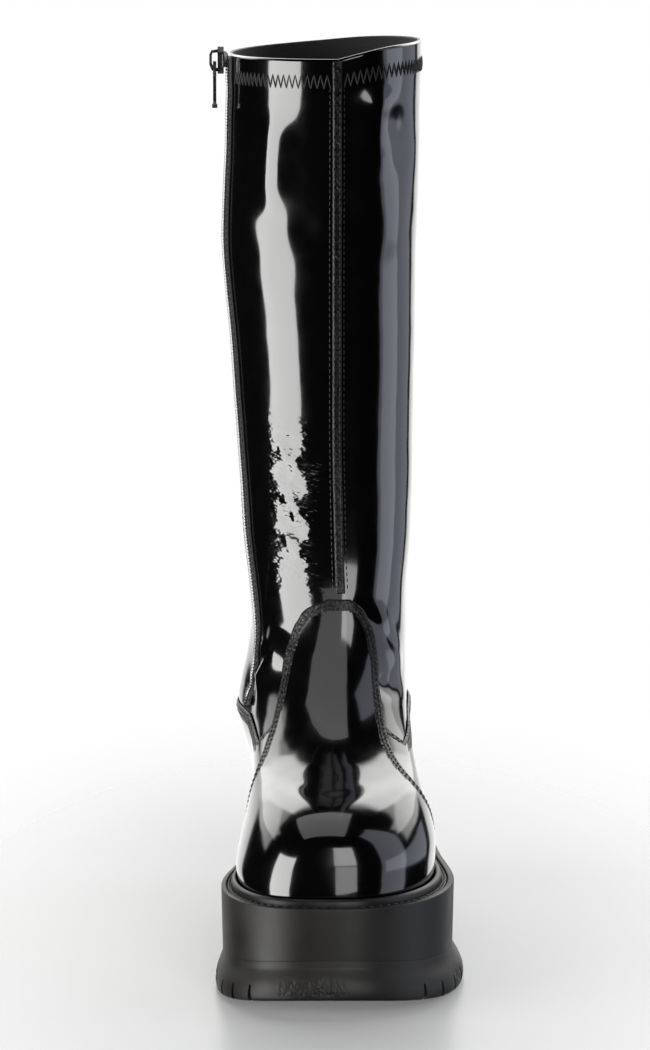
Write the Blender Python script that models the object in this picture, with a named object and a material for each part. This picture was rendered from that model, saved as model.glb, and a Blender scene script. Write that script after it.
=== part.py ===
"""Knee-high platform boot for the left foot.

Metres, +Z up. The toe points to -Y and the outer side of the foot to +X. The origin is on the
floor under the middle of the heel. One function, skin(), gives the outside of the upper from
rows of sections, and every other piece is worked out from it.
"""
import math
from collections import namedtuple

import bmesh
import bpy
import numpy as np

# Driving dimensions
FOOT_LENGTH = 0.2485
BALL_WIDTH = 0.0935
INSTEP_HEIGHT = 0.120
SHAFT_HEIGHT = 0.392
CALF_WIDTH = 0.098
CALF_DEPTH = 0.120
HEEL_BACK = 0.033
DECK_HEEL = 0.0525
DECK_BALL = 0.0485
DECK_TOE_LIFT = 0.0035
WALL = 0.0018
GAP = 0.0003
PANEL_GAP = 0.0005
LAYER = 0.0012
HEM_STEP = 0.0005

# Upper: a row for each section of the foot, from the sole up. The first four columns place its
# front and back as shares of foot length and instep height. The pairs are half widths as shares
# of ball width, and the round columns are the roundness of its ends (2 is an ellipse).
FootSection = namedtuple(
    "FootSection",
    "toe toe_up heel heel_up ball_in ball_out arch_in arch_out ankle_in ankle_out "
    "heel_in heel_out toe_round_in toe_round_out heel_round x_front x_back",
)
FOOT = [
    FootSection(.001, .000, .997, .000, .478, .500, .385, .452, .350, .425, .342, .385, 3.1, 2.45, 2.4, -.02, .02),
    FootSection(-.003, .033, 1.00, .030, .484, .506, .392, .458, .356, .430, .350, .390, 3.1, 2.45, 2.4, -.02, .02),
    FootSection(-.006, .088, 1.005, .080, .490, .510, .402, .462, .366, .430, .362, .390, 3.0, 2.45, 2.4, -.02, .02),
    FootSection(-.006, .173, 1.013, .155, .466, .506, .410, .455, .388, .425, .375, .385, 2.9, 2.40, 2.3, -.02, .01),
    FootSection(.009, .260, 1.013, .238, .432, .478, .412, .436, .415, .418, .380, .377, 2.7, 2.30, 2.3, -.02, .00),
    FootSection(.040, .322, 1.007, .322, .406, .448, .416, .414, .442, .412, .388, .370, 2.3, 2.10, 2.3, -.02, -.01),
    FootSection(.092, .372, .997, .397, .384, .420, .420, .402, .468, .408, .398, .366, 2.0, 1.90, 2.3, -.02, -.01),
    FootSection(.170, .416, .984, .480, .370, .396, .430, .397, .494, .405, .414, .364, 1.8, 1.75, 2.3, -.02, -.02),
    FootSection(.265, .475, .970, .563, .360, .375, .440, .394, .517, .402, .420, .361, 1.75, 1.75, 2.3, -.02, -.02),
    FootSection(.345, .550, .960, .647, .352, .360, .438, .393, .503, .400, .402, .357, 1.80, 1.80, 2.3, -.01, -.03),
    FootSection(.428, .675, .956, .747, .350, .348, .425, .392, .472, .400, .385, .355, 1.85, 1.85, 2.3, .01, -.03),
    FootSection(.492, .835, .956, .863, .365, .350, .425, .394, .452, .403, .378, .352, 1.90, 1.90, 2.25, .03, -.04),
    FootSection(.532, 1.03, .960, 1.013, .385, .360, .440, .399, .466, .407, .372, .342, 1.95, 1.95, 2.2, .04, -.04),
]
STATIONS = (0.25, 0.45, 0.66, 0.87)

# Shaft: height as a share of the shaft, then its front, depth and half widths
ShaftSection = namedtuple("ShaftSection", "up front depth inside outside x_front x_back")
SHAFT = [
    ShaftSection(0.380, 0.556, 0.875, 0.459, 0.400, .03, -.04),
    ShaftSection(0.505, 0.564, 0.880, 0.490, 0.410, .02, -.05),
    ShaftSection(0.630, 0.566, 0.910, 0.525, 0.416, .02, -.06),
    ShaftSection(0.758, 0.563, 0.960, 0.562, 0.428, .02, -.07),
    ShaftSection(0.887, 0.560, 0.995, 0.546, 0.441, .02, -.08),
    ShaftSection(1.000, 0.559, 1.000, 0.534, 0.443, .02, -.08),
]
SHAFT_ROUND = 2.05
TOP = len(FOOT) + len(SHAFT) - 1
HEM_LEVEL = TOP - 0.36

# The collar stands higher on the outer side, between the front and back seams: how far round, and
# the share of the rise there
COLLAR_RISE = 0.0060
CollarRise = namedtuple("CollarRise", "round share")
COLLAR = [
    CollarRise(0.00, 0.0), CollarRise(0.03, .37), CollarRise(0.08, .83), CollarRise(0.17, 1.0),
    CollarRise(0.33, .75), CollarRise(0.42, .42), CollarRise(0.50, 0.0), CollarRise(1.00, 0.0),
]

# Panels: levels count the section rows, and round is the share of the way round from the front
VampEdge = namedtuple("VampEdge", "level inside outside")
VAMP = [
    VampEdge(0.0, .236, .226), VampEdge(2.0, .215, .204), VampEdge(4.5, .192, .174), VampEdge(6.5, .176, .148),
    VampEdge(8.0, .158, .126), VampEdge(10.0, .126, .103), VampEdge(11.0, .103, .087), VampEdge(11.6, .083, .068),
    VampEdge(11.9, .060, .048), VampEdge(12.08, .024, .020),
]
QuarterTop = namedtuple("QuarterTop", "round level")
QUARTER_IN = [QuarterTop(.100, 10.3), QuarterTop(.190, 7.55), QuarterTop(.240, 8.15), QuarterTop(.34, 7.7), QuarterTop(.50, 7.3)]
QUARTER_OUT = [QuarterTop(.080, 9.9), QuarterTop(.160, 7.95), QuarterTop(.200, 8.40), QuarterTop(.33, 7.7), QuarterTop(.50, 7.3)]
ZipPath = namedtuple("ZipPath", "level round")
ZIP = [
    ZipPath(8.35, .252), ZipPath(9.0, .244), ZipPath(9.7, .221), ZipPath(10.4, .203), ZipPath(11.5, .198),
    ZipPath(13.0, .210), ZipPath(15.0, .220), ZipPath(TOP, .226),
]
SEAM_HALF = 0.0023
SEAM_HIGH = 0.0009
TAPE_HALF = 0.0058
TAPE_HIGH = 0.0008
CHAIN_HALF = 0.0021
CHAIN_HIGH = 0.0012
QUARTER_LAYER = 0.0009
VAMP_MARGIN = 0.0015

# Sole: how far its rim stands out beyond the upper's lowest section, and its flared tread beyond
# the rim, each round the foot as a share of what it is at the toe
RIM_OUT = 0.0110
FLARE_OUT = 0.0036
SoleEdge = namedtuple("SoleEdge", "round rim_in rim_out flare_in flare_out")
SOLE = [
    SoleEdge(.00, 1.00, 1.00, 1.00, 1.00), SoleEdge(.08, .982, 1.036, .944, 1.111),
    SoleEdge(.15, .927, 1.091, .833, 1.333), SoleEdge(.21, .764, 1.055, .778, 1.333),
    SoleEdge(.25, .655, .964, .778, 1.278), SoleEdge(.30, .618, .864, .778, 1.222),
    SoleEdge(.38, .636, .818, .833, 1.167), SoleEdge(.44, .673, .755, .917, 1.056),
    SoleEdge(.50, .691, .691, 1.00, 1.00),
]
# The underside: where its curves start and end as shares of foot length from the toe, and heights
TREAD_HEIGHT = 0.0195
TOE_SPRING = 0.0105
SPRING_END = 0.203
ARCH_RISE = 0.003
ARCH_FROM, ARCH_TO = 0.513, 0.7465
HEEL_BEVEL = 0.0018
HEEL_BEVEL_START = 0.940
# The tread's side from the top down: share of the flare, share of its height, and a set-back
TreadRow = namedtuple("TreadRow", "flare height set_back")
TREAD = [
    TreadRow(0, 1.0, .0009), TreadRow(0, .846, .0004), TreadRow(.28, .667, 0), TreadRow(.75, .4615, 0),
    TreadRow(1, .256, 0), TreadRow(1, 0, .0012),
]
LIP_HIGH = 0.0014
LIP_SHARE = 0.33
LIP_CHAMFER = 0.0008
WALL_DRAFT = 0.0006
WELT_INNER = 0.0019
LEDGE_HIGH = 0.0009
BEAD_HIGH = 0.0050
BEAD_SHARE = 0.40
INSOLE_THICK = 0.003
INSOLE_CLEAR = 0.0004

# Edge notches of the tread, from the middle of the toe along each side (side 1 is the outer one),
# as shares of foot length
NotchRow = namedtuple("NotchRow", "side first pitch")
NOTCHES = [NotchRow(1, .2153, .0664), NotchRow(-1, .171, .0596)]
NOTCH_END = 0.016
NOTCH_WIDE = 0.0034
NOTCH_TIP = 0.0012
NOTCH_HIGH = 0.0085
NOTCH_DEEP = 0.022
CHEVRON_START = 0.026
CHEVRON_END = 0.022
CHEVRON_PITCH = 0.0165
CHEVRON_WIDE = 0.0038
CHEVRON_DROP = 0.006
CHEVRON_MARGIN = 0.017
LUG_DEPTH = 0.0042

Colour = namedtuple("Colour", "base roughness metallic")
PATENT = Colour((0.006, 0.006, 0.007, 1), 0.06, 0.0)
RUBBER = Colour((0.045, 0.043, 0.040, 1), 0.55, 0.0)
WELT = Colour((0.020, 0.020, 0.020, 1), 0.38, 0.0)
LINING = Colour((0.018, 0.018, 0.018, 1), 0.85, 0.0)
ZIP_TAPE = Colour((0.012, 0.012, 0.013, 1), 0.80, 0.0)
DARK_METAL = Colour((0.030, 0.030, 0.032, 1), 0.30, 1.0)


def clear_scene():
    for item in list(bpy.data.objects):
        bpy.data.objects.remove(item, do_unlink=True)


def slopes(xs, ys):
    """Slopes of a smooth curve through the rows of ys at xs"""
    step = np.diff(xs)
    rise = np.diff(ys, axis=0) / step.reshape((-1,) + (1,) * (ys.ndim - 1))
    out = np.empty_like(ys)
    out[0], out[-1] = rise[0], rise[-1]
    for i in range(1, len(xs) - 1):
        out[i] = (rise[i - 1] * step[i] + rise[i] * step[i - 1]) / (step[i - 1] + step[i])
    return out


def smooth(xs, ys, x):
    """Value at x of the smooth curve through (xs, ys)"""
    xs, ys, x = np.asarray(xs, float), np.asarray(ys, float), np.asarray(x, float)
    slope = slopes(xs, ys)
    i = np.clip(np.searchsorted(xs, x, side="right") - 1, 0, len(xs) - 2)
    step = xs[i + 1] - xs[i]
    t = np.clip((x - xs[i]) / step, 0, 1)
    low = (2 * t**3 - 3 * t**2 + 1) * ys[i] + (t**3 - 2 * t**2 + t) * step * slope[i]
    return low + (3 * t**2 - 2 * t**3) * ys[i + 1] + (t**3 - t**2) * step * slope[i + 1]


def column(rows, name):
    return [getattr(row, name) for row in rows]


def along(distance):
    """Y of a point this far behind the toe"""
    return HEEL_BACK - FOOT_LENGTH + distance


def ease(t):
    t = np.clip(t, 0, 1)
    return t * t * (3 - 2 * t)


def deck(y):
    """Height of the platform's top, under the foot"""
    toe, ball, heel = along(0), along(0.33 * FOOT_LENGTH), along(0.86 * FOOT_LENGTH)
    rise = (DECK_HEEL - DECK_BALL) * ease((y - ball) / (heel - ball))
    return DECK_BALL + rise + DECK_TOE_LIFT * np.clip((ball - y) / (ball - toe), 0, 1.3) ** 2


def sole_bottom(y):
    """Height of the sole's underside: flat under ball and heel, raised at toe, arch and heel edge"""
    tip = along(0) - RIM_OUT - FLARE_OUT
    spring_end, bevel_start = along(SPRING_END * FOOT_LENGTH), along(HEEL_BEVEL_START * FOOT_LENGTH)
    arch_from, arch_to = along(ARCH_FROM * FOOT_LENGTH), along(ARCH_TO * FOOT_LENGTH)
    spring = TOE_SPRING * np.clip((spring_end - y) / (spring_end - tip), 0, 1) ** 2
    arch = ARCH_RISE * np.sin(math.pi * np.clip((y - arch_from) / (arch_to - arch_from), 0, 1)) ** 2
    back = HEEL_BACK + SOLE[-1].rim_in * RIM_OUT
    bevel = HEEL_BEVEL * np.clip((y - bevel_start) / (back - bevel_start), 0, 1.2) ** 2
    return spring + arch + bevel


def cap(t, roundness):
    """Half width of a rounded outline at share t of its length"""
    return (1 - np.abs(1 - 2 * t) ** roundness) ** (1 / roundness)


def section_rows():
    """Each section as plain lengths: front and back points, widths at the stations, ends"""
    rows = []
    for f in FOOT:
        front, back = f.toe * FOOT_LENGTH, f.heel * FOOT_LENGTH
        low_front = float(deck(along(front))) + f.toe_up * INSTEP_HEIGHT
        low_back = float(deck(along(back))) + f.heel_up * INSTEP_HEIGHT
        x_front, x_back = f.x_front * BALL_WIDTH, f.x_back * BALL_WIDTH
        inside, outside = [], []
        pairs = ((f.ball_in, f.ball_out), (f.arch_in, f.arch_out), (f.ankle_in, f.ankle_out), (f.heel_in, f.heel_out))
        for station, (wide_in, wide_out) in zip(STATIONS, pairs):
            middle = x_front + (x_back - x_front) * station
            round_in = f.toe_round_in if station < 0.5 else f.heel_round
            round_out = f.toe_round_out if station < 0.5 else f.heel_round
            inside.append((wide_in * BALL_WIDTH + middle) / cap(station, round_in))
            outside.append((wide_out * BALL_WIDTH - middle) / cap(station, round_out))
        ends = [f.toe_round_in, f.toe_round_out, f.heel_round, x_front, x_back]
        rows.append([front, low_front, back, low_back] + inside + outside + ends)
    for s in SHAFT:
        front, height = s.front * FOOT_LENGTH, DECK_HEEL + s.up * SHAFT_HEIGHT
        x_front, x_back = s.x_front * BALL_WIDTH, s.x_back * BALL_WIDTH
        middle = (x_front + x_back) / 2
        inside = [s.inside * CALF_WIDTH + middle] * len(STATIONS)
        outside = [s.outside * CALF_WIDTH - middle] * len(STATIONS)
        ends = [SHAFT_ROUND] * 3 + [x_front, x_back]
        rows.append([front, height, front + s.depth * CALF_DEPTH, height] + inside + outside + ends)
    return np.array(rows, float)


ROWS = section_rows()


def width_at(stations, t):
    """Half width at t, smoothly between the four stations and level beyond them"""
    xs = np.array((-0.15,) + STATIONS + (1.15,))
    ys = np.concatenate([stations[:1], stations, stations[-1:]])
    slope = slopes(xs, ys)
    slope[0] = slope[-1] = 0
    i = np.clip(np.searchsorted(xs, t, side="right") - 1, 0, len(xs) - 2)
    step = xs[i + 1] - xs[i]
    q = (t - xs[i]) / step

    def pick(table, index):
        return np.take_along_axis(table, index[None], 0)[0]

    low = (2 * q**3 - 3 * q**2 + 1) * pick(ys, i) + (q**3 - 2 * q**2 + q) * step * pick(slope, i)
    return low + (3 * q**2 - 2 * q**3) * pick(ys, i + 1) + (q**3 - q**2) * step * pick(slope, i + 1)


def skin(level, turn):
    """Point on the upper's outside. turn runs 0 front, .25 outer side, .5 back, .75 inner side"""
    level, turn = np.broadcast_arrays(np.asarray(level, float), np.asarray(turn, float) % 1.0)
    v = section_values(level)
    front, low_front, back, low_back = v[0:4]
    inside, outside = v[4:8], v[8:12]
    round_in, round_out, round_heel, x_front, x_back = v[12:17]
    t = (1 - np.cos(2 * math.pi * turn)) / 2
    outer = turn <= 0.5
    roundness = np.where(t < 0.5, np.where(outer, round_out, round_in), round_heel)
    share = cap(np.clip(t, 0, 1), roundness)
    middle = x_front + (x_back - x_front) * t
    x = np.where(outer, middle + width_at(outside, t) * share, middle - width_at(inside, t) * share)
    y = along(front + (back - front) * t)
    z = low_front + (low_back - low_front) * t
    sag_front, sag_back = deck(along(front)), deck(along(back))
    sag = deck(y) - (sag_front + (sag_back - sag_front) * t)
    z = z + sag * np.clip(1 - level / 4, 0, 1)
    rise = COLLAR_RISE * smooth(column(COLLAR, "round"), column(COLLAR, "share"), turn)
    z = z + rise * ease((level - (TOP - 1.5)) / 1.5)
    return np.stack([x, y, z], -1)


def section_values(level):
    """All section lengths at a level, the first axis being the length"""
    return np.stack([smooth(np.arange(len(ROWS)), ROWS[:, k], level) for k in range(ROWS.shape[1])])


def outward(level, turn, reach=0.002):
    """Unit normal of the skin"""
    low, high = np.clip(level - reach, 0, TOP), np.clip(level + reach, 0, TOP)
    up = skin(high, turn) - skin(low, turn)
    across = skin(level, turn + reach) - skin(level, turn - reach)
    normal = np.cross(across, up)
    return normal / np.linalg.norm(normal, axis=-1, keepdims=True)


def shifted(level, turn, distance):
    """Point at a distance outside the skin, never below the platform's top"""
    level, turn = np.broadcast_arrays(np.asarray(level, float), np.asarray(turn, float))
    point = skin(level, turn) + outward(level, turn) * distance
    point[..., 2] = np.maximum(point[..., 2], deck(point[..., 1]) + GAP)
    return point


def around(count):
    return np.arange(count) / count


def make_material(name, colour):
    material = bpy.data.materials.get(name) or bpy.data.materials.new(name)
    material.use_nodes = True
    shader = material.node_tree.nodes["Principled BSDF"]
    shader.inputs["Base Color"].default_value = colour.base
    shader.inputs["Roughness"].default_value = colour.roughness
    shader.inputs["Metallic"].default_value = colour.metallic
    return material


def add_object(name, points, faces, material, sharp=40):
    """An object from points and faces, with its faces turned outward"""
    mesh = bpy.data.meshes.new(name)
    mesh.from_pydata([tuple(map(float, p)) for p in points], [], faces)
    work = bmesh.new()
    work.from_mesh(mesh)
    bmesh.ops.recalc_face_normals(work, faces=work.faces)
    work.to_mesh(mesh)
    work.free()
    mesh.shade_smooth()
    mesh.set_sharp_from_angle(angle=math.radians(sharp))
    item = bpy.data.objects.new(name, mesh)
    bpy.context.scene.collection.objects.link(item)
    if material:
        item.data.materials.append(material)
    return item


def ring_faces(first, second, count):
    return [(first + i, first + (i + 1) % count, second + (i + 1) % count, second + i) for i in range(count)]


def ladder_faces(start, count):
    """Close a ring whose points i and count - i face each other across the foot"""
    faces = [(start, start + 1, start + count - 1)]
    for i in range(1, count // 2 - 1):
        faces.append((start + i, start + i + 1, start + count - i - 1, start + count - i))
    faces.append((start + count // 2 - 1, start + count // 2, start + count // 2 + 1))
    return faces


def tube_solid(name, loops, material):
    """Loops joined one to the next and the last back to the first, as a hollow wall"""
    count = len(loops[0])
    faces = []
    for i in range(len(loops)):
        faces += ring_faces(i * count, (i + 1) % len(loops) * count, count)
    return add_object(name, np.concatenate(loops), faces, material)


def plate_solid(name, loops, material):
    """Loops joined one to the next, with the first and last filled across"""
    count = len(loops[0])
    faces = ladder_faces(0, count) + ladder_faces((len(loops) - 1) * count, count)
    for i in range(len(loops) - 1):
        faces += ring_faces(i * count, (i + 1) * count, count)
    return add_object(name, np.concatenate(loops), faces, material)


def slab_solid(name, low, high, material):
    """Closed slab between two grids of points of one size"""
    rows, columns = low.shape[:2]
    size = rows * columns
    faces = []
    for r in range(rows - 1):
        for c in range(columns - 1):
            i = r * columns + c
            faces.append((i, i + columns, i + columns + 1, i + 1))
            faces.append((size + i, size + i + 1, size + i + columns + 1, size + i + columns))
    edge = [c for c in range(columns)]
    edge += [r * columns + columns - 1 for r in range(1, rows)]
    edge += [(rows - 1) * columns + c for c in range(columns - 2, -1, -1)]
    edge += [r * columns for r in range(rows - 2, 0, -1)]
    for a, b in zip(edge, edge[1:] + edge[:1]):
        faces.append((a, b, size + b, size + a))
    points = np.concatenate([low.reshape(-1, 3), high.reshape(-1, 3)])
    return add_object(name, points, faces, material)


def box_between(name, corners_low, corners_high, material=None):
    """Prism from two matching outlines"""
    count = len(corners_low)
    faces = [tuple(range(count)), tuple(range(2 * count - 1, count - 1, -1))]
    faces += ring_faces(0, count, count)
    return add_object(name, list(corners_low) + list(corners_high), faces, material, sharp=30)


def as_cutter(item):
    item.hide_render = True
    item.display_type = "WIRE"
    return item


def cut(item, cutter, operation):
    """Boolean that stays on the object"""
    modifier = item.modifiers.new(operation.title(), "BOOLEAN")
    modifier.operation = operation
    modifier.solver = "EXACT"
    modifier.object = as_cutter(cutter)


# Levels of the upper's rings: close together over the foot, wider apart up the shaft
FOOT_LEVELS = [0, 1, 2, 3, 4, 4.75, 5.5, 6.25, 7, 7.75, 8.5, 9.25, 10, 10.7, 11.4, 12.1]
SHAFT_LEVELS = [12.8, 13.6, 14.4, 15, 15.6, 16.4, 17.1]
ROUND = 44


def hem_step(level):
    return HEM_STEP if level >= HEM_LEVEL else 0.0


def upper_loops():
    turns = around(ROUND)
    outer = [shifted(level, turns, 0.0) for level in FOOT_LEVELS + SHAFT_LEVELS]
    outer.append(shifted(HEM_LEVEL - 0.01, turns, 0.0))
    outer.append(shifted(HEM_LEVEL + 0.01, turns, HEM_STEP))
    outer.append(shifted(TOP, turns, HEM_STEP))
    inner_levels = FOOT_LEVELS + SHAFT_LEVELS[::2] + [TOP]
    inner = [shifted(level, turns, -WALL) for level in reversed(inner_levels)]
    return outer + inner


def make_upper():
    return tube_solid("upper", upper_loops(), make_material("patent", PATENT))


def shell_form(name, low, high, levels):
    """A sleeve lying on the foot, from which a panel is cut"""
    turns = around(ROUND)
    outer = [shifted(level, turns, high) for level in levels]
    inner = [shifted(level, turns, low) for level in reversed(levels)]
    return tube_solid(name, outer + inner, make_material("patent", PATENT))


def table_value(rows, key, name, at):
    return smooth(column(rows, key), column(rows, name), at)


def straight_value(rows, key, name, at):
    return np.interp(at, column(rows, key), column(rows, name))


PANEL_IN, PANEL_OUT = -0.004, 0.006
BELOW_DECK = 0.004


def vamp_block(gap):
    """Everything over and under the vamp's area, widened by gap at its edge"""
    levels = [0, 1, 2, 3, 4, 5, 6, 7, 8, 9, 10, 10.6, 11, 11.3, 11.6, 11.8, 11.95, 12.08]
    spread = np.linspace(-1, 1, 19)
    low, high = [], []
    for level in levels:
        half_in = float(table_value(VAMP, "level", "inside", level)) + gap
        half_out = float(table_value(VAMP, "level", "outside", level)) + gap
        turns = np.where(spread < 0, spread * half_in, spread * half_out)
        reach = level + gap * (8 if level > 11.9 else 0)
        low.append(skin(reach, turns) + outward(reach, turns) * PANEL_IN)
        high.append(skin(reach, turns) + outward(reach, turns) * PANEL_OUT)
    for grid in (low, high):
        grid[0] = grid[0] - np.array([0, 0, BELOW_DECK])
    return slab_solid("vamp_area", np.array(low), np.array(high), None)


def quarter_block():
    """Everything over and under the quarter's area, with its V-shaped notches"""
    turns_in = [1 - t for t in (.02, .06, .11, .15, .19, .215, .24, .29, .34, .39, .44)]
    turns_out = [.50, .45, .40, .35, .30, .26, .23, .20, .18, .16, .14, .11, .07, .02]
    shares = np.linspace(0, 1, 9)
    low, high = [], []
    for turn in turns_out[::-1] + turns_in[::-1]:
        if turn > 0.5:
            top = float(straight_value(QUARTER_IN, "round", "level", 1 - turn))
        else:
            top = float(straight_value(QUARTER_OUT, "round", "level", turn))
        levels = shares * top
        low.append(skin(levels, turn) + outward(levels, turn) * PANEL_IN)
        high.append(skin(levels, turn) + outward(levels, turn) * PANEL_OUT)
    for grid in (low, high):
        for line in grid:
            line[0] = line[0] - np.array([0, 0, BELOW_DECK])
    return slab_solid("quarter_area", np.array(low), np.array(high), None)


def make_panels():
    """Vamp over the toe and instep, quarter round the heel, each cut from its own sleeve"""
    sleeve_levels = FOOT_LEVELS + [SHAFT_LEVELS[0]]
    vamp = shell_form("vamp", PANEL_GAP, PANEL_GAP + LAYER, sleeve_levels)
    cut(vamp, vamp_block(0.0), "INTERSECT")
    quarter = shell_form("quarter", PANEL_GAP, PANEL_GAP + QUARTER_LAYER, sleeve_levels[:-2])
    cut(quarter, quarter_block(), "INTERSECT")
    cut(quarter, vamp_block(VAMP_MARGIN), "DIFFERENCE")
    return vamp, quarter


def seam_strip(name, turn, levels, half, low, high, material):
    """A narrow strip up the shaft, its middle raised"""
    low_rows, high_rows = [], []
    for level in levels:
        middle = skin(level, turn)
        side = skin(level, turn + 0.005) - skin(level, turn - 0.005)
        side = side / np.linalg.norm(side) * half
        normal = outward(level, turn)
        step = hem_step(level)
        low_rows.append([middle - side + normal * (low + step), middle + side + normal * (low + step)])
        high_rows.append([middle - side + normal * (high + step), middle + side + normal * (high + step)])
    return slab_solid(name, np.array(low_rows), np.array(high_rows), material)


def make_seams():
    patent = make_material("patent", PATENT)
    shaft = SHAFT_LEVELS + [HEM_LEVEL - 0.01, HEM_LEVEL + 0.01, TOP]
    seam_strip("front_seam", 0.0, [12.16] + shaft, SEAM_HALF, GAP, GAP + SEAM_HIGH, patent)
    back = [level for level in FOOT_LEVELS if level > 7.5] + shaft
    seam_strip("back_seam", 0.5, back, SEAM_HALF, GAP, GAP + SEAM_HIGH, patent)


def strip_on_path(name, levels, half, low, high, material):
    """A strip that follows the zip's path"""
    low_rows, high_rows = [], []
    for level in levels:
        turn = -float(table_value(ZIP, "level", "round", level))
        middle = skin(level, turn)
        side = skin(level, turn + 0.005) - skin(level, turn - 0.005)
        side = side / np.linalg.norm(side) * half
        normal = outward(level, turn)
        step = hem_step(level)
        low_rows.append([middle + side * k + normal * (low + step) for k in (-1, 0, 1)])
        high_rows.append([middle + side * k + normal * (high + step) for k in (-1, 0, 1)])
    return slab_solid(name, np.array(low_rows), np.array(high_rows), material)


def make_zip():
    levels = [8.35, 8.5, 9.25, 10, 10.7, 11.4, 12.1] + SHAFT_LEVELS + [HEM_LEVEL - 0.01, HEM_LEVEL + 0.01, TOP - 0.02]
    tape = make_material("zip_tape", ZIP_TAPE)
    metal = make_material("dark_metal", DARK_METAL)
    strip_on_path("zip_tape", levels, TAPE_HALF, GAP, GAP + TAPE_HIGH, tape)
    chain_low = GAP + TAPE_HIGH + GAP
    strip_on_path("zip_chain", levels, CHAIN_HALF, chain_low, chain_low + CHAIN_HIGH, metal)


def feather_line(turns, distance):
    """Plan outline at a distance outside the upper's lowest section"""
    base = skin(0.0, turns)
    reach = 0.003
    along_line = skin(0.0, turns + reach) - skin(0.0, turns - reach)
    normal = np.stack([along_line[:, 1], -along_line[:, 0], 0 * turns], -1)
    normal /= np.linalg.norm(normal, axis=1, keepdims=True)
    centre = base.mean(0)
    if ((base - centre) * normal).sum() < 0:
        normal = -normal
    return base[:, :2] + normal[:, :2] * np.asarray(distance)[..., None]


def sole_column(name, turns):
    """The rim or the flare at each turn, inner side and outer side in one"""
    size = RIM_OUT if name == "rim" else FLARE_OUT
    turns = np.asarray(turns) % 1.0
    fold = np.minimum(turns, 1 - turns)
    rounds = column(SOLE, "round")
    inside = smooth(rounds, column(SOLE, name + "_in"), fold)
    outside = smooth(rounds, column(SOLE, name + "_out"), fold)
    return size * np.where(turns <= 0.5, outside, inside)


def flat_loop(turns, distance, height):
    """Loop in plan at a distance from the feather line, at the height that a function gives"""
    plan = feather_line(turns, distance)
    return np.concatenate([plan, height(plan[:, 1])[:, None]], 1)


def make_platform():
    turns = around(72)
    rim = sole_column("rim", turns)
    lip = LIP_SHARE * (rim - WELT_INNER)

    def at_deck(rise):
        return lambda y: deck(y) + rise

    def at_tread(y):
        return TREAD_HEIGHT + sole_bottom(y) + GAP

    loops = [
        flat_loop(turns, 0.0 * rim, at_deck(0)),
        flat_loop(turns, rim - lip, at_deck(0)),
        flat_loop(turns, rim - lip + LIP_CHAMFER / 2, at_deck(LIP_HIGH)),
        flat_loop(turns, rim - LIP_CHAMFER, at_deck(LIP_HIGH)),
        flat_loop(turns, rim, at_deck(LIP_HIGH - LIP_CHAMFER * 1.5)),
        flat_loop(turns, rim - WALL_DRAFT, at_tread),
    ]
    return plate_solid("platform", loops, make_material("rubber", RUBBER))


def tread_cutters():
    """Notches round the edge that run in as grooves, and chevrons down the middle"""
    tools = []
    steps = np.linspace(0, 1, 721)[:-1]
    plan = feather_line(steps, sole_column("rim", steps) + sole_column("flare", steps))
    lengths = np.concatenate([[0], np.cumsum(np.linalg.norm(np.diff(plan, axis=0, append=plan[:1]), axis=1))])
    total = lengths[-1]
    for row in NOTCHES:
        for at in np.arange(row.first * FOOT_LENGTH, total / 2 - NOTCH_END, row.pitch * FOOT_LENGTH):
            place = at if row.side > 0 else total - at
            turn = float(np.interp(place, lengths, np.append(steps, 1.0)))
            edge = feather_line(np.array([turn]), np.array([0.0]))[0]
            rim = float(sole_column("rim", [turn])[0] + sole_column("flare", [turn])[0])
            far = feather_line(np.array([turn]), np.array([rim + 0.002]))[0]
            inward = (edge - far) / np.linalg.norm(edge - far)
            across = np.array([-inward[1], inward[0]])
            near = far + inward * (0.002 + NOTCH_DEEP)
            corners = []
            for point, wide_low, wide_high, high in (
                (far, NOTCH_WIDE, NOTCH_TIP, NOTCH_HIGH), (near, NOTCH_WIDE * 0.8, NOTCH_TIP * 1.4, LUG_DEPTH)
            ):
                low_z = float(sole_bottom(point[1])) - 0.002
                high_z = float(sole_bottom(point[1])) + high
                corners.append([
                    (*(point - across * wide_low / 2), low_z), (*(point + across * wide_low / 2), low_z),
                    (*(point + across * wide_high / 2), high_z), (*(point - across * wide_high / 2), high_z),
                ])
            tools.append((corners[0], corners[1]))
    return tools


def chevron_cutters():
    tools = []
    y = along(CHEVRON_START)
    while y < HEEL_BACK - CHEVRON_END:
        t = (y - along(0)) / FOOT_LENGTH
        turn = math.acos(1 - 2 * t) / (2 * math.pi)
        pair = feather_line(np.array([turn, 1 - turn]), np.array([0.0, 0.0]))
        left, right = pair[:, 0].min() + CHEVRON_MARGIN, pair[:, 0].max() - CHEVRON_MARGIN
        centre = (left + right) / 2
        drop, wide = CHEVRON_DROP, CHEVRON_WIDE
        outline = [
            (left, y + drop), (centre, y), (right, y + drop),
            (right, y + drop + wide), (centre, y + wide), (left, y + drop + wide),
        ]
        low = [(px, py, float(sole_bottom(py)) - 0.002) for px, py in outline]
        high = [(px, py, float(sole_bottom(py)) + LUG_DEPTH) for px, py in outline]
        tools.append((low, high))
        y += CHEVRON_PITCH
    return tools


def joined_cutter(name, tools):
    """One cutter from prisms that don't touch"""
    points, faces = [], []
    for low, high in tools:
        start, count = len(points), len(low)
        points += list(low) + list(high)
        faces.append(tuple(range(start, start + count)))
        faces.append(tuple(range(start + 2 * count - 1, start + count - 1, -1)))
        faces += ring_faces(start, start + count, count)
    return add_object(name, points, faces, None, sharp=30)


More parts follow.
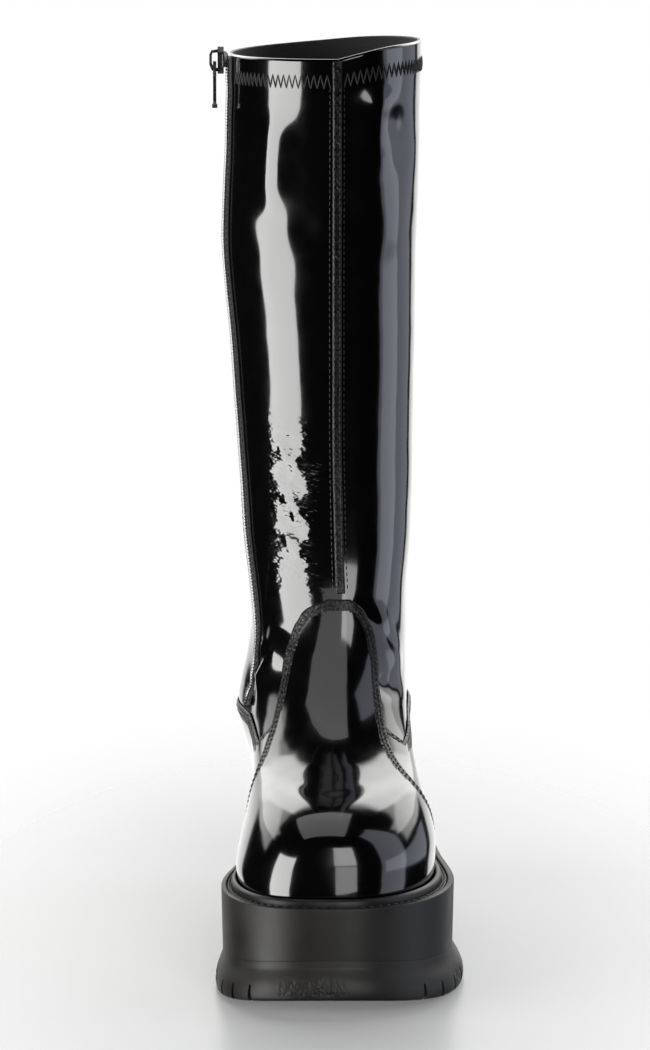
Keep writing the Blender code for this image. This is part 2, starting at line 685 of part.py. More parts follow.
def make_outsole():
    turns = around(80)
    rim = sole_column("rim", turns)
    flare = sole_column("flare", turns)

    def at(height):
        return lambda y: sole_bottom(y) + height

    loops = [
        flat_loop(turns, rim + flare * row.flare - row.set_back, at(TREAD_HEIGHT * row.height)) for row in TREAD
    ]
    outsole = plate_solid("outsole", loops, make_material("rubber", RUBBER))
    cut(outsole, joined_cutter("edge_notches", tread_cutters()), "DIFFERENCE")
    cut(outsole, joined_cutter("middle_grooves", chevron_cutters()), "DIFFERENCE")
    return outsole


def make_welt():
    """Rolled bead against the upper, with a flat stitching ledge out to the platform's lip"""
    turns = around(64)
    rim = sole_column("rim", turns)
    free = rim - WELT_INNER
    inner = WELT_INNER + 0 * turns
    bead = BEAD_SHARE * free
    ledge = rim - LIP_SHARE * free - GAP

    def at(rise):
        return lambda y: deck(y) + rise

    def beside_vamp(level, distance, rise):
        line = shifted(level, turns, PANEL_GAP + LAYER + distance)
        line[:, 2] = deck(line[:, 1]) + rise
        return line

    loops = [
        beside_vamp(0.2, 0.0004, GAP),
        flat_loop(turns, ledge, at(GAP)),
        flat_loop(turns, ledge, at(LEDGE_HIGH)),
        flat_loop(turns, inner + bead + GAP, at(LEDGE_HIGH)),
        flat_loop(turns, inner + bead, at(BEAD_HIGH * 0.62)),
        flat_loop(turns, inner + bead * 0.72, at(BEAD_HIGH * 0.93)),
        beside_vamp(1.1, 0.0012, BEAD_HIGH),
        beside_vamp(1.0, 0.0005, BEAD_HIGH * 0.80),
    ]
    return tube_solid("welt", loops, make_material("welt", WELT))


def make_insole():
    turns = around(48)
    board = -(WALL + GAP + INSOLE_CLEAR)
    low = shifted(0.15, turns, board)
    low[:, 2] = deck(low[:, 1]) + GAP
    high = shifted(0.9, turns, board - GAP)
    high[:, 2] = deck(high[:, 1]) + GAP + INSOLE_THICK
    return plate_solid("insole", [low, high], make_material("lining", LINING))


# Zip slider and pull, at the top of the zip
SLIDER_HIGH = 0.0135
SLIDER_WIDE = 0.0078
SLIDER_THICK = 0.0030
BRIDGE_OUT = 0.0042
BRIDGE_WIDE = 0.0022
BAR = 0.0013
PULL_LONG = 0.0235
PULL_WIDE = 0.0058
PULL_THICK = 0.0016
PULL_SLOT = 0.0062
BRIDGE_BAR = 0.0013
SLIDER_DROP = 0.0045
SLIDER_GAP = 0.0034


def slider_place():
    """Middle of the slider's inner face"""
    level = TOP - 0.05
    turn = -float(table_value(ZIP, "level", "round", level))
    middle = skin(level, turn)
    return np.array([middle[0] - SLIDER_GAP - HEM_STEP, middle[1], DECK_HEEL + SHAFT_HEIGHT - SLIDER_DROP])


def prism_x(name, outline, x_from, x_to, material):
    """Prism along X from an outline of (y, z) points"""
    return box_between(name, [(x_from, y, z) for y, z in outline], [(x_to, y, z) for y, z in outline], material)


def prism_y(name, outline, y_from, y_to, material):
    """Prism along Y from an outline of (x, z) points"""
    return box_between(name, [(x, y_from, z) for x, z in outline], [(x, y_to, z) for x, z in outline], material)


def make_slider():
    place = slider_place()
    metal = make_material("dark_metal", DARK_METAL)
    x, y, z = place
    half, high = SLIDER_WIDE / 2, SLIDER_HIGH / 2
    body_outline = [
        (y - half * .62, z - high), (y + half * .62, z - high), (y + half * .80, z), (y + half, z + high * .62),
        (y + half * .72, z + high), (y - half * .72, z + high), (y - half, z + high * .62), (y - half * .80, z),
    ]
    slider = prism_x("zip_slider", body_outline, x, x - SLIDER_THICK, metal)
    face = x - SLIDER_THICK
    rise = BRIDGE_OUT
    arch = [
        (face + 0.0004, z + high * .80), (face - rise * .75, z + high * .72), (face - rise, z + high * .40),
        (face - rise, z - high * .35), (face - rise * .70, z - high * .78), (face + 0.0004, z - high * .86),
        (face + 0.0004, z - high * .60), (face - rise * .52, z - high * .54), (face - rise + BRIDGE_BAR, z - high * .28),
        (face - rise + BRIDGE_BAR, z + high * .34), (face - rise * .62, z + high * .52), (face + 0.0004, z + high * .56),
    ]
    bridge = prism_y("slider_bridge", arch, y - BRIDGE_WIDE / 2, y + BRIDGE_WIDE / 2, None)
    cut(slider, bridge, "UNION")
    return slider


def pull_pivot():
    place = slider_place()
    x = place[0] - SLIDER_THICK - (BRIDGE_OUT - BRIDGE_BAR) / 2 - 0.0001
    return np.array([x, place[1], place[2] - 0.0012])


def make_pull():
    """Flat tab with a slot at its top: the bar above the slot hangs in the slider's bridge"""
    x, y, z = pull_pivot()
    thick = PULL_THICK / 2
    half = PULL_WIDE / 2
    top, bottom = BAR / 2, -(PULL_LONG - BAR / 2)
    outline = [
        (-half * .75, top), (half * .75, top), (half, top - .0010), (half, -PULL_SLOT - 0.0003), (half * .62, -PULL_SLOT - 0.0028),
        (half * .62, bottom + .0035), (half * .80, bottom + .0015), (half * .80, bottom + .0006), (half * .45, bottom),
        (-half * .45, bottom), (-half * .80, bottom + .0006), (-half * .80, bottom + .0015),
        (-half * .62, bottom + .0035), (-half * .62, -PULL_SLOT - 0.0028), (-half, -PULL_SLOT - 0.0003),
        (-half, top - .0010),
    ]
    metal = make_material("dark_metal", DARK_METAL)
    pull = prism_x("zip_pull", outline, thick, -thick, metal)
    slot_half = BRIDGE_WIDE / 2 + 0.0004
    slot = [(-slot_half, -BAR / 2), (slot_half, -BAR / 2), (slot_half, -PULL_SLOT), (-slot_half, -PULL_SLOT)]
    cutter = prism_x("pull_slot", slot, 0.004, -0.004, None)
    knob = prism_x("pull_end", [
        (-half * .78, bottom + .0001), (half * .78, bottom + .0001), (half * .78, bottom + .0021), (-half * .78, bottom + .0021),
    ], .0013, -.0013, None)
    for item in (pull, cutter, knob):
        item.location = (x, y, z)
    cut(pull, cutter, "DIFFERENCE")
    cut(pull, knob, "UNION")
    return pull


clear_scene()
make_outsole()
make_platform()
make_welt()
make_insole()
make_upper()
make_panels()
make_seams()
make_zip()
make_slider()
make_pull()
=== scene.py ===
"""Knee-high patent platform boot for the left foot, dressed over its CAD solids.

Metres, +Z up, toe to -Y, outer side of the foot to +X. Every soft piece is laid on the same
surface function as the solids: skin(level, turn), with folds and swells on top.
"""

import math
from collections import namedtuple

import bmesh
import bpy
import numpy as np
from mathutils import Euler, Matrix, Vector
from mathutils import noise as noise_at


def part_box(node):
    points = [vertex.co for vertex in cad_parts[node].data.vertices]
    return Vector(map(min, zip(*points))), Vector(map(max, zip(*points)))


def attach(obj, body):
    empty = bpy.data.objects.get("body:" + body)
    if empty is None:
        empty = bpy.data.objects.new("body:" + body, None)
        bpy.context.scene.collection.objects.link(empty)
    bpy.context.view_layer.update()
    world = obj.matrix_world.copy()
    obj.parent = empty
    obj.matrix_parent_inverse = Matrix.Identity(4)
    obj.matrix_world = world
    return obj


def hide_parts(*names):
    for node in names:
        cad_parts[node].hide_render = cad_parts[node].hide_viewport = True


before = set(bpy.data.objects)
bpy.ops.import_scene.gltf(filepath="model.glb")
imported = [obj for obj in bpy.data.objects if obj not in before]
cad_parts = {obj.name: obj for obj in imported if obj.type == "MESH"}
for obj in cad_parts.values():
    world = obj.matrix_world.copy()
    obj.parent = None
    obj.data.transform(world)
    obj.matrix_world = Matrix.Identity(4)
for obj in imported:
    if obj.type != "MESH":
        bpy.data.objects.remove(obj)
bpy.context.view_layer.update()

# Sizes of the solids, repeated from their source
FOOT_LENGTH = 0.2485
BALL_WIDTH = 0.0935
INSTEP_HEIGHT = 0.120
SHAFT_HEIGHT = 0.392
CALF_WIDTH = 0.098
CALF_DEPTH = 0.120
HEEL_BACK = 0.033
DECK_HEEL = 0.0525
DECK_BALL = 0.0485
DECK_TOE_LIFT = 0.0035
WALL = 0.0018
GAP = 0.0003
PANEL_GAP = 0.0005
LAYER = 0.0012
HEM_STEP = 0.0005

FootSection = namedtuple(
    "FootSection",
    "toe toe_up heel heel_up ball_in ball_out arch_in arch_out ankle_in ankle_out "
    "heel_in heel_out toe_round_in toe_round_out heel_round x_front x_back",
)
FOOT = [FootSection(*row) for row in (
    (.001, .000, .997, .000, .478, .500, .385, .452, .350, .425, .342, .385, 3.1, 2.45, 2.4, -.02, .02),
    (-.003, .033, 1.00, .030, .484, .506, .392, .458, .356, .430, .350, .390, 3.1, 2.45, 2.4, -.02, .02),
    (-.006, .088, 1.005, .080, .490, .510, .402, .462, .366, .430, .362, .390, 3.0, 2.45, 2.4, -.02, .02),
    (-.006, .173, 1.013, .155, .466, .506, .410, .455, .388, .425, .375, .385, 2.9, 2.40, 2.3, -.02, .01),
    (.009, .260, 1.013, .238, .432, .478, .412, .436, .415, .418, .380, .377, 2.7, 2.30, 2.3, -.02, .00),
    (.040, .322, 1.007, .322, .406, .448, .416, .414, .442, .412, .388, .370, 2.3, 2.10, 2.3, -.02, -.01),
    (.092, .372, .997, .397, .384, .420, .420, .402, .468, .408, .398, .366, 2.0, 1.90, 2.3, -.02, -.01),
    (.170, .416, .984, .480, .370, .396, .430, .397, .494, .405, .414, .364, 1.8, 1.75, 2.3, -.02, -.02),
    (.265, .475, .970, .563, .360, .375, .440, .394, .517, .402, .420, .361, 1.75, 1.75, 2.3, -.02, -.02),
    (.345, .550, .960, .647, .352, .360, .438, .393, .503, .400, .402, .357, 1.80, 1.80, 2.3, -.01, -.03),
    (.428, .675, .956, .747, .350, .348, .425, .392, .472, .400, .385, .355, 1.85, 1.85, 2.3, .01, -.03),
    (.492, .835, .956, .863, .365, .350, .425, .394, .452, .403, .378, .352, 1.90, 1.90, 2.25, .03, -.04),
    (.532, 1.03, .960, 1.013, .385, .360, .440, .399, .466, .407, .372, .342, 1.95, 1.95, 2.2, .04, -.04),
)]
STATIONS = (0.25, 0.45, 0.66, 0.87)
ShaftSection = namedtuple("ShaftSection", "up front depth inside outside x_front x_back")
SHAFT = [ShaftSection(*row) for row in (
    (0.380, 0.556, 0.875, 0.459, 0.400, .03, -.04),
    (0.505, 0.564, 0.880, 0.490, 0.410, .02, -.05),
    (0.630, 0.566, 0.910, 0.525, 0.416, .02, -.06),
    (0.758, 0.563, 0.960, 0.562, 0.428, .02, -.07),
    (0.887, 0.560, 0.995, 0.546, 0.441, .02, -.08),
    (1.000, 0.559, 1.000, 0.534, 0.443, .02, -.08),
)]
SHAFT_ROUND = 2.05
TOP = len(FOOT) + len(SHAFT) - 1
HEM_LEVEL = TOP - 0.36
COLLAR_RISE = 0.0060
CollarRise = namedtuple("CollarRise", "round share")
COLLAR = [CollarRise(*row) for row in (
    (0.00, 0.0), (0.03, .37), (0.08, .83), (0.17, 1.0), (0.33, .75), (0.42, .42), (0.50, 0.0),
    (1.00, 0.0),
)]
VampEdge = namedtuple("VampEdge", "level inside outside")
VAMP = [VampEdge(*row) for row in (
    (0.0, .236, .226), (2.0, .215, .204), (4.5, .192, .174), (6.5, .176, .148), (8.0, .158, .126),
    (10.0, .126, .103), (11.0, .103, .087), (11.6, .083, .068), (11.9, .060, .048),
    (12.08, .024, .020),
)]
QuarterTop = namedtuple("QuarterTop", "round level")
QUARTER_IN = [QuarterTop(*row) for row in (
    (.100, 10.3), (.190, 7.55), (.240, 8.15), (.34, 7.7), (.50, 7.3),
)]
QUARTER_OUT = [QuarterTop(*row) for row in (
    (.080, 9.9), (.160, 7.95), (.200, 8.40), (.33, 7.7), (.50, 7.3),
)]
ZipPath = namedtuple("ZipPath", "level round")
ZIP = [ZipPath(*row) for row in (
    (8.35, .252), (9.0, .244), (9.7, .221), (10.4, .203), (11.5, .198), (13.0, .210), (15.0, .220),
    (TOP, .226),
)]
SEAM_HALF = 0.0023
TAPE_HALF = 0.0058
RIM_OUT = 0.0110
FLARE_OUT = 0.0036
SoleEdge = namedtuple("SoleEdge", "round rim_in rim_out flare_in flare_out")
SOLE = [SoleEdge(*row) for row in (
    (.00, 1.00, 1.00, 1.00, 1.00), (.08, .982, 1.036, .944, 1.111), (.15, .927, 1.091, .833, 1.333),
    (.21, .764, 1.055, .778, 1.333), (.25, .655, .964, .778, 1.278), (.30, .618, .864, .778, 1.222),
    (.38, .636, .818, .833, 1.167), (.44, .673, .755, .917, 1.056), (.50, .691, .691, 1.00, 1.00),
)]
TREAD_HEIGHT = 0.0195
TOE_SPRING = 0.0105
SPRING_END = 0.203
ARCH_RISE = 0.003
ARCH_FROM, ARCH_TO = 0.513, 0.7465
HEEL_BEVEL = 0.0018
HEEL_BEVEL_START = 0.940
LIP_HIGH = 0.0014
LIP_SHARE = 0.33
WALL_DRAFT = 0.0006
WELT_INNER = 0.0019
LEDGE_HIGH = 0.0009
BEAD_HIGH = 0.0050
BEAD_SHARE = 0.40
INSOLE_THICK = 0.003
INSOLE_CLEAR = 0.0004
NotchRow = namedtuple("NotchRow", "side first pitch")
NOTCHES = [NotchRow(1, .2153, .0664), NotchRow(-1, .171, .0596)]
NOTCH_END = 0.016
NOTCH_WIDE = 0.0034
NOTCH_TIP = 0.0012
NOTCH_HIGH = 0.0085
NOTCH_DEEP = 0.022
CHEVRON_START = 0.026
CHEVRON_END = 0.022
CHEVRON_PITCH = 0.0165
CHEVRON_WIDE = 0.0038
CHEVRON_DROP = 0.006
CHEVRON_MARGIN = 0.017
LUG_DEPTH = 0.0042
CUT_OVER = 0.002

# Folds of the leather, as lines of (level, turn) points. Positive rises are ridges, negative ones
# are troughs; the width is that of the slope to each side
Fold = namedtuple("Fold", "rise width points")
FOLDS = [Fold(*row) for row in (
    (.0027, .0100, [(17.50, -.098), (16.85, -.103), (16.22, -.106)]),
    (.0040, .0120, [(9.10, -.232), (10.45, -.168), (11.45, -.105)]),
    (-.0016, .0042, [(9.80, -.226), (10.45, -.178), (11.2, -.122)]),
    (-.0012, .0045, [(12.15, .022), (11.5, .095), (10.5, .190)]),
    (.0020, .0085, [(12.0, .075), (11.1, .130), (10.1, .195)]),
    (-.0011, .0060, [(10.55, .085), (10.0, .130), (9.5, .200)]),
    (-.0012, .0060, [(10.6, .40), (10.3, .50), (10.7, .60)]),
    (.0011, .0080, [(11.3, .38), (11.1, .50), (11.4, .62)]),
    (-.0010, .0060, [(12.0, .42), (11.8, .52), (12.1, .63)]),
    (-.0008, .0060, [(10.0, .24), (10.1, .31), (9.6, .37)]),
    (-.0008, .0060, [(9.4, .70), (9.8, .66), (9.5, .60)]),
    (.0026, .0100, [(17.70, .060), (17.20, .075), (16.60, .082)]),
    (-.0012, .0085, [(17.45, .118), (17.05, .090), (16.70, .050)]),
)]
# Swells and dents of the leather: height out of the surface and how far each reaches
Swell = namedtuple("Swell", "level turn rise reach")
SWELLS = [Swell(*row) for row in (
    (16.22, -.150, .0010, .0110), (16.22, -.046, -.0015, .0120), (15.80, -.120, .0006, .0120),
    (16.9, .130, -.0010, .012), (16.2, .105, .0008, .014), (17.5, .120, .0008, .014),
    (15.2, -.100, .0004, .030), (14.05, -.082, -.0008, .0042), (13.93, -.092, .0008, .0038),
    (13.84, -.072, .0008, .0040), (13.72, -.088, -.0009, .0040), (13.60, -.072, -.0007, .0036),
    (13.48, -.085, .0009, .0042), (13.38, -.070, .0007, .0036), (13.28, -.092, -.0009, .0042),
    (13.16, -.076, -.0008, .0038), (13.05, -.090, .0009, .0042), (12.90, -.074, .0008, .0040),
    (15.0, .350, .0008, .030), (13.6, .420, -.0009, .024), (16.3, .480, .0007, .030),
    (14.4, .600, .0008, .026), (12.9, .560, -.0008, .018), (12.5, .300, .0007, .020),
)]
# Small puckers beside the front seam
PUCKERS = [
    (16.2, .016), (15.9, .018), (15.75, .016), (15.5, .019), (15.3, .016), (15.05, .017), (14.8, .016),
    (14.5, .018),
]
PUCKER_DEEP = 0.00022
PUCKER_REACH = 0.0022
# How far from a fold's middle its slopes are worked out, and into how many steps its line is cut
FOLD_REACH = 0.075
FOLD_STEPS = 96


def slopes(xs, ys):
    """Slopes of a smooth curve through the rows of ys at xs"""
    step = np.diff(xs)
    rise = np.diff(ys, axis=0) / step.reshape((-1,) + (1,) * (ys.ndim - 1))
    out = np.empty_like(ys)
    out[0], out[-1] = rise[0], rise[-1]
    for i in range(1, len(xs) - 1):
        out[i] = (rise[i - 1] * step[i] + rise[i] * step[i - 1]) / (step[i - 1] + step[i])
    return out


def smooth(xs, ys, x):
    """Value at x of the smooth curve through (xs, ys)"""
    xs, ys, x = np.asarray(xs, float), np.asarray(ys, float), np.asarray(x, float)
    slope = slopes(xs, ys)
    i = np.clip(np.searchsorted(xs, x, side="right") - 1, 0, len(xs) - 2)
    step = xs[i + 1] - xs[i]
    t = np.clip((x - xs[i]) / step, 0, 1)
    low = (2 * t**3 - 3 * t**2 + 1) * ys[i] + (t**3 - 2 * t**2 + t) * step * slope[i]
    return low + (3 * t**2 - 2 * t**3) * ys[i + 1] + (t**3 - t**2) * step * slope[i + 1]


def column(rows, name):
    return [getattr(row, name) for row in rows]


def along(distance):
    return HEEL_BACK - FOOT_LENGTH + distance


def ease(t):
    t = np.clip(t, 0, 1)
    return t * t * (3 - 2 * t)


def deck(y):
    """Height of the platform's top, under the foot"""
    toe, ball, heel = along(0), along(0.33 * FOOT_LENGTH), along(0.86 * FOOT_LENGTH)
    rise = (DECK_HEEL - DECK_BALL) * ease((y - ball) / (heel - ball))
    return DECK_BALL + rise + DECK_TOE_LIFT * np.clip((ball - y) / (ball - toe), 0, 1.3) ** 2


def sole_bottom(y):
    """Height of the sole's underside"""
    tip = along(0) - RIM_OUT - FLARE_OUT
    spring_end, bevel_start = along(SPRING_END * FOOT_LENGTH), along(HEEL_BEVEL_START * FOOT_LENGTH)
    arch_from, arch_to = along(ARCH_FROM * FOOT_LENGTH), along(ARCH_TO * FOOT_LENGTH)
    spring = TOE_SPRING * np.clip((spring_end - y) / (spring_end - tip), 0, 1) ** 2
    arch = ARCH_RISE * np.sin(math.pi * np.clip((y - arch_from) / (arch_to - arch_from), 0, 1)) ** 2
    back = HEEL_BACK + SOLE[-1].rim_in * RIM_OUT
    bevel = HEEL_BEVEL * np.clip((y - bevel_start) / (back - bevel_start), 0, 1.2) ** 2
    return spring + arch + bevel


def cap(t, roundness):
    return (1 - np.abs(1 - 2 * t) ** roundness) ** (1 / roundness)


def section_rows():
    """Each section as plain lengths: front and back points, widths at the stations, ends"""
    rows = []
    for f in FOOT:
        front, back = f.toe * FOOT_LENGTH, f.heel * FOOT_LENGTH
        low_front = float(deck(along(front))) + f.toe_up * INSTEP_HEIGHT
        low_back = float(deck(along(back))) + f.heel_up * INSTEP_HEIGHT
        x_front, x_back = f.x_front * BALL_WIDTH, f.x_back * BALL_WIDTH
        inside, outside = [], []
        for station, part in zip(STATIONS, ("ball", "arch", "ankle", "heel")):
            wide_in, wide_out = getattr(f, part + "_in"), getattr(f, part + "_out")
            middle = x_front + (x_back - x_front) * station
            round_in = f.toe_round_in if station < 0.5 else f.heel_round
            round_out = f.toe_round_out if station < 0.5 else f.heel_round
            inside.append((wide_in * BALL_WIDTH + middle) / cap(station, round_in))
            outside.append((wide_out * BALL_WIDTH - middle) / cap(station, round_out))
        ends = [f.toe_round_in, f.toe_round_out, f.heel_round, x_front, x_back]
        rows.append([front, low_front, back, low_back] + inside + outside + ends)
    for s in SHAFT:
        front, height = s.front * FOOT_LENGTH, DECK_HEEL + s.up * SHAFT_HEIGHT
        x_front, x_back = s.x_front * BALL_WIDTH, s.x_back * BALL_WIDTH
        middle = (x_front + x_back) / 2
        inside = [s.inside * CALF_WIDTH + middle] * len(STATIONS)
        outside = [s.outside * CALF_WIDTH - middle] * len(STATIONS)
        ends = [SHAFT_ROUND] * 3 + [x_front, x_back]
        rows.append([front, height, front + s.depth * CALF_DEPTH, height] + inside + outside + ends)
    return np.array(rows, float)


ROWS = section_rows()


def width_at(stations, t):
    """Half width at t, smoothly between the four stations and level beyond them"""
    xs = np.array((-0.15,) + STATIONS + (1.15,))
    ys = np.concatenate([stations[:1], stations, stations[-1:]])
    slope = slopes(xs, ys)
    slope[0] = slope[-1] = 0
    i = np.clip(np.searchsorted(xs, t, side="right") - 1, 0, len(xs) - 2)
    step = xs[i + 1] - xs[i]
    q = (t - xs[i]) / step

    def pick(values, index):
        return np.take_along_axis(values, index[None], 0)[0]

    low = (2 * q**3 - 3 * q**2 + 1) * pick(ys, i) + (q**3 - 2 * q**2 + q) * step * pick(slope, i)
    return low + (3 * q**2 - 2 * q**3) * pick(ys, i + 1) + (q**3 - q**2) * step * pick(slope, i + 1)


def skin(level, turn):
    """Point on the upper's outside. turn runs 0 front, .25 outer side, .5 back, .75 inner side"""
    level, turn = np.broadcast_arrays(np.asarray(level, float), np.asarray(turn, float) % 1.0)
    v = np.stack([smooth(np.arange(len(ROWS)), ROWS[:, k], level) for k in range(ROWS.shape[1])])
    front, low_front, back, low_back = v[0:4]
    inside, outside = v[4:8], v[8:12]
    round_in, round_out, round_heel, x_front, x_back = v[12:17]
    t = (1 - np.cos(2 * math.pi * turn)) / 2
    outer = turn <= 0.5
    roundness = np.where(t < 0.5, np.where(outer, round_out, round_in), round_heel)
    share = cap(np.clip(t, 0, 1), roundness)
    middle = x_front + (x_back - x_front) * t
    x = np.where(outer, middle + width_at(outside, t) * share, middle - width_at(inside, t) * share)
    y = along(front + (back - front) * t)
    z = low_front + (low_back - low_front) * t
    sag_front, sag_back = deck(along(front)), deck(along(back))
    sag = deck(y) - (sag_front + (sag_back - sag_front) * t)
    z = z + sag * np.clip(1 - level / 4, 0, 1)
    rise = COLLAR_RISE * smooth(column(COLLAR, "round"), column(COLLAR, "share"), turn)
    z = z + rise * ease((level - (TOP - 1.5)) / 1.5)
    return np.stack([x, y, z], -1)


def outward(level, turn, reach=0.002):
    """Unit normal of the skin"""
    level, turn = np.broadcast_arrays(np.asarray(level, float), np.asarray(turn, float))
    low, high = np.clip(level - reach, 0, TOP), np.clip(level + reach, 0, TOP)
    up = skin(high, turn) - skin(low, turn)
    across = skin(level, turn + reach) - skin(level, turn - reach)
    normal = np.cross(across, up)
    return normal / np.linalg.norm(normal, axis=-1, keepdims=True)


def wobble(point):
    """Gentle unevenness of leather on a last, a few hundredths of a millimetre to a third of one"""
    x, y, z = point[..., 0], point[..., 1], point[..., 2]
    wide = np.sin(61 * z + 38 * x - 2) * np.sin(47 * y - 23 * z + 1) * 0.00030
    middle = np.sin(131 * z - 71 * y + 3) * np.sin(97 * x + 59 * z) * 0.00008
    fine = np.sin(310 * z + 157 * x + 1) * np.sin(263 * y + 183 * x - 90 * z) * 0.000018
    return (wide + middle + fine) * (0.22 + 0.78 * ease((z - 0.15) / 0.06))


def relief(point, level):
    """How far the folds, swells and unevenness stand out of the skin"""
    flat = point.reshape(-1, 3)
    out = wobble(flat)
    for swell in SWELLS:
        centre = skin(swell.level, swell.turn)
        gap = ((flat - centre) ** 2).sum(1)
        out += swell.rise * np.exp(-gap / swell.reach**2)
    for pucker in PUCKERS:
        gap = ((flat - skin(*pucker)) ** 2).sum(1)
        out += -PUCKER_DEEP * np.exp(-gap / PUCKER_REACH**2)
    for fold in FOLDS:
        steps = np.linspace(0, len(fold.points) - 1, FOLD_STEPS)
        levels, turns = np.array(fold.points).T
        knots = np.arange(len(fold.points))
        line = skin(smooth(knots, levels, steps), smooth(knots, turns, steps))
        near = (np.abs(flat - line.mean(0)).max(1) < FOLD_REACH).nonzero()[0]
        gaps = ((flat[near, None] - line[None]) ** 2).sum(2)
        nearest = gaps.argmin(1)
        ahead = np.gradient(line, axis=0)[nearest]
        offset = flat[near] - line[nearest]
        extra = np.clip((offset * ahead).sum(1) / (ahead**2).sum(1), -0.6, 0.6)
        share = np.clip((nearest + extra) / (len(steps) - 1), 0, 1)
        beside_line = ((offset - ahead * extra[:, None]) ** 2).sum(1)
        out[near] += fold.rise * ease(3 * share) * ease(3 - 3 * share) * np.exp(-beside_line / fold.width**2)
    out = out.reshape(point.shape[:-1])
    return out * ease((level - 0.8) / 2) * (0.25 + 0.75 * ease((TOP - level) / 0.5))


# Below the hem's middle, how far its step starts, and over how many levels it rises
HEM_SOFT, HEM_OVER = 0.10, 0.22


def hem(levels):
    """The collar's turned-over band stands out a little, with a soft lower edge"""
    return HEM_STEP * ease((levels - HEM_LEVEL + HEM_SOFT) / HEM_OVER)


def place(level, turn, distance=0.0):
    """Point at a distance outside the creased leather"""
    level, turn = np.broadcast_arrays(np.asarray(level, float), np.asarray(turn, float))
    point = skin(level, turn)
    away = relief(point, level) + np.asarray(distance)
    point = point + outward(level, turn) * np.broadcast_to(away, level.shape)[..., None]
    point[..., 2] = np.maximum(point[..., 2], deck(point[..., 1]) + GAP)
    return point


# Mesh helpers
def grid_faces(rows, columns, closed=False):
    r = np.arange(rows - 1)[:, None] * columns
    c = np.arange(columns if closed else columns - 1)[None, :]
    n = (c + 1) % columns
    return np.stack([r + c, r + n, r + columns + n, r + columns + c], -1).reshape(-1, 4)


def prism_faces(count, start=0):
    """The two ends of a prism and the sides between its outlines of count points"""
    ahead = [(i + 1) % count for i in range(count)]
    faces = [list(range(count)), list(range(2 * count - 1, count - 1, -1))]
    faces += [[i, ahead[i], count + ahead[i], count + i] for i in range(count)]
    return [[start + i for i in face] for face in faces]


def closed_faces(rows, count):
    """Rows joined round, and the last one joined back to the first"""
    last, ring = (rows - 1) * count, np.arange(count)
    ahead = (ring + 1) % count
    closing = np.stack([last + ring, last + ahead, ahead, ring], -1)
    return np.concatenate([grid_faces(rows, count, True), closing])


def repeated(faces, size, count):
    """The same faces for each of count groups of size points"""
    return [[i + k * size for i in face] for k in range(count) for face in faces]


def run_lengths(line):
    """Length along a line of points, at each of its points"""
    return np.concatenate([[0], np.cumsum(np.linalg.norm(np.diff(line, axis=0), axis=1))])


def at_lengths(where, lengths, values):
    """The rows of values at given lengths along their line"""
    return np.stack([np.interp(where, lengths, values[:, k]) for k in range(values.shape[1])], -1)


def linked(name, data):
    item = bpy.data.objects.new(name, data)
    bpy.context.scene.collection.objects.link(item)
    return item


def turn_outward(mesh):
    work = bmesh.new()
    work.from_mesh(mesh)
    bmesh.ops.recalc_face_normals(work, faces=work.faces)
    work.to_mesh(mesh)
    work.free()


def piece(name, points, faces, materials, node, picks=None, sharp=None, turned=True):
    """An object on the boot that stands for a node, if one is given, and takes its finish from a slot"""
    mesh = bpy.data.meshes.new(name)
    faces = faces.tolist() if isinstance(faces, np.ndarray) else faces
    mesh.from_pydata(np.asarray(points).reshape(-1, 3).tolist(), [], faces)
    if picks is not None:
        mesh.polygons.foreach_set("material_index", np.asarray(picks, dtype=np.int32))
    if turned:
        turn_outward(mesh)
    mesh.shade_smooth()
    if sharp:
        mesh.set_sharp_from_angle(angle=math.radians(sharp))
    item = linked(name, mesh)
    for material in materials:
        mesh.materials.append(material)
    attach(item, "boot")
    if node:
        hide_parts(node)
    return item


def rounded(loops, times=2):
    """Rows of points with the corners between them cut, which rounds the profile"""
    loops = np.asarray(loops)
    for _ in range(times):
        first = 0.75 * loops[:-1] + 0.25 * loops[1:]
        second = 0.25 * loops[:-1] + 0.75 * loops[1:]
        middle = np.stack([first, second], 1).reshape((-1,) + loops.shape[1:])
        loops = np.concatenate([loops[:1], middle[1:-1], loops[-1:]])
    return loops


def slab(name, high, low, materials, node, band=None):
    """A sheet with thickness from two grids of one size. Points marked in band take the second material"""
    rows, columns = high.shape[:2]
    size = rows * columns
    top = grid_faces(rows, columns)
    edge = np.concatenate([
        np.arange(columns), np.arange(1, rows) * columns + columns - 1,
        (rows - 1) * columns + np.arange(columns - 2, -1, -1), np.arange(rows - 2, 0, -1) * columns,
    ])
    ahead = np.roll(edge, -1)
    rim = np.stack([edge, ahead, ahead + size, edge + size], -1)
    faces = np.concatenate([top, top[:, ::-1] + size, rim])
    points = np.concatenate([high.reshape(-1, 3), low.reshape(-1, 3)])
    picks = None
    if band is not None:
        picks = band_picks(band.reshape(-1)[top].sum(1) > 1, len(rim))
    return piece(name, points, faces, materials, node, picks)


def band_picks(marked, rim_count):
    """Second material for a panel's marked top faces and its rim"""
    return np.concatenate([marked, 0 * marked, np.ones(rim_count)]).astype(int)


THREAD_SIDES = 6
THREAD_RINGS = 5
# Radii of the sewing threads, and the pitch and length of each kind of stitch
SEAM_THREAD, PANEL_THREAD, HEM_THREAD, WELT_THREAD = 0.00030, 0.00032, 0.00034, 0.00055
Stitch = namedtuple("Stitch", "pitch length")
SEAM_STITCH, SIDE_STITCH = Stitch(.0031, .0022), Stitch(.0031, .0021)
PANEL_STITCH, ZIP_STITCH = Stitch(.0029, .0021), Stitch(.0030, .0022)
HEM_PITCH = 0.0033
WELT_PITCH = 0.0046


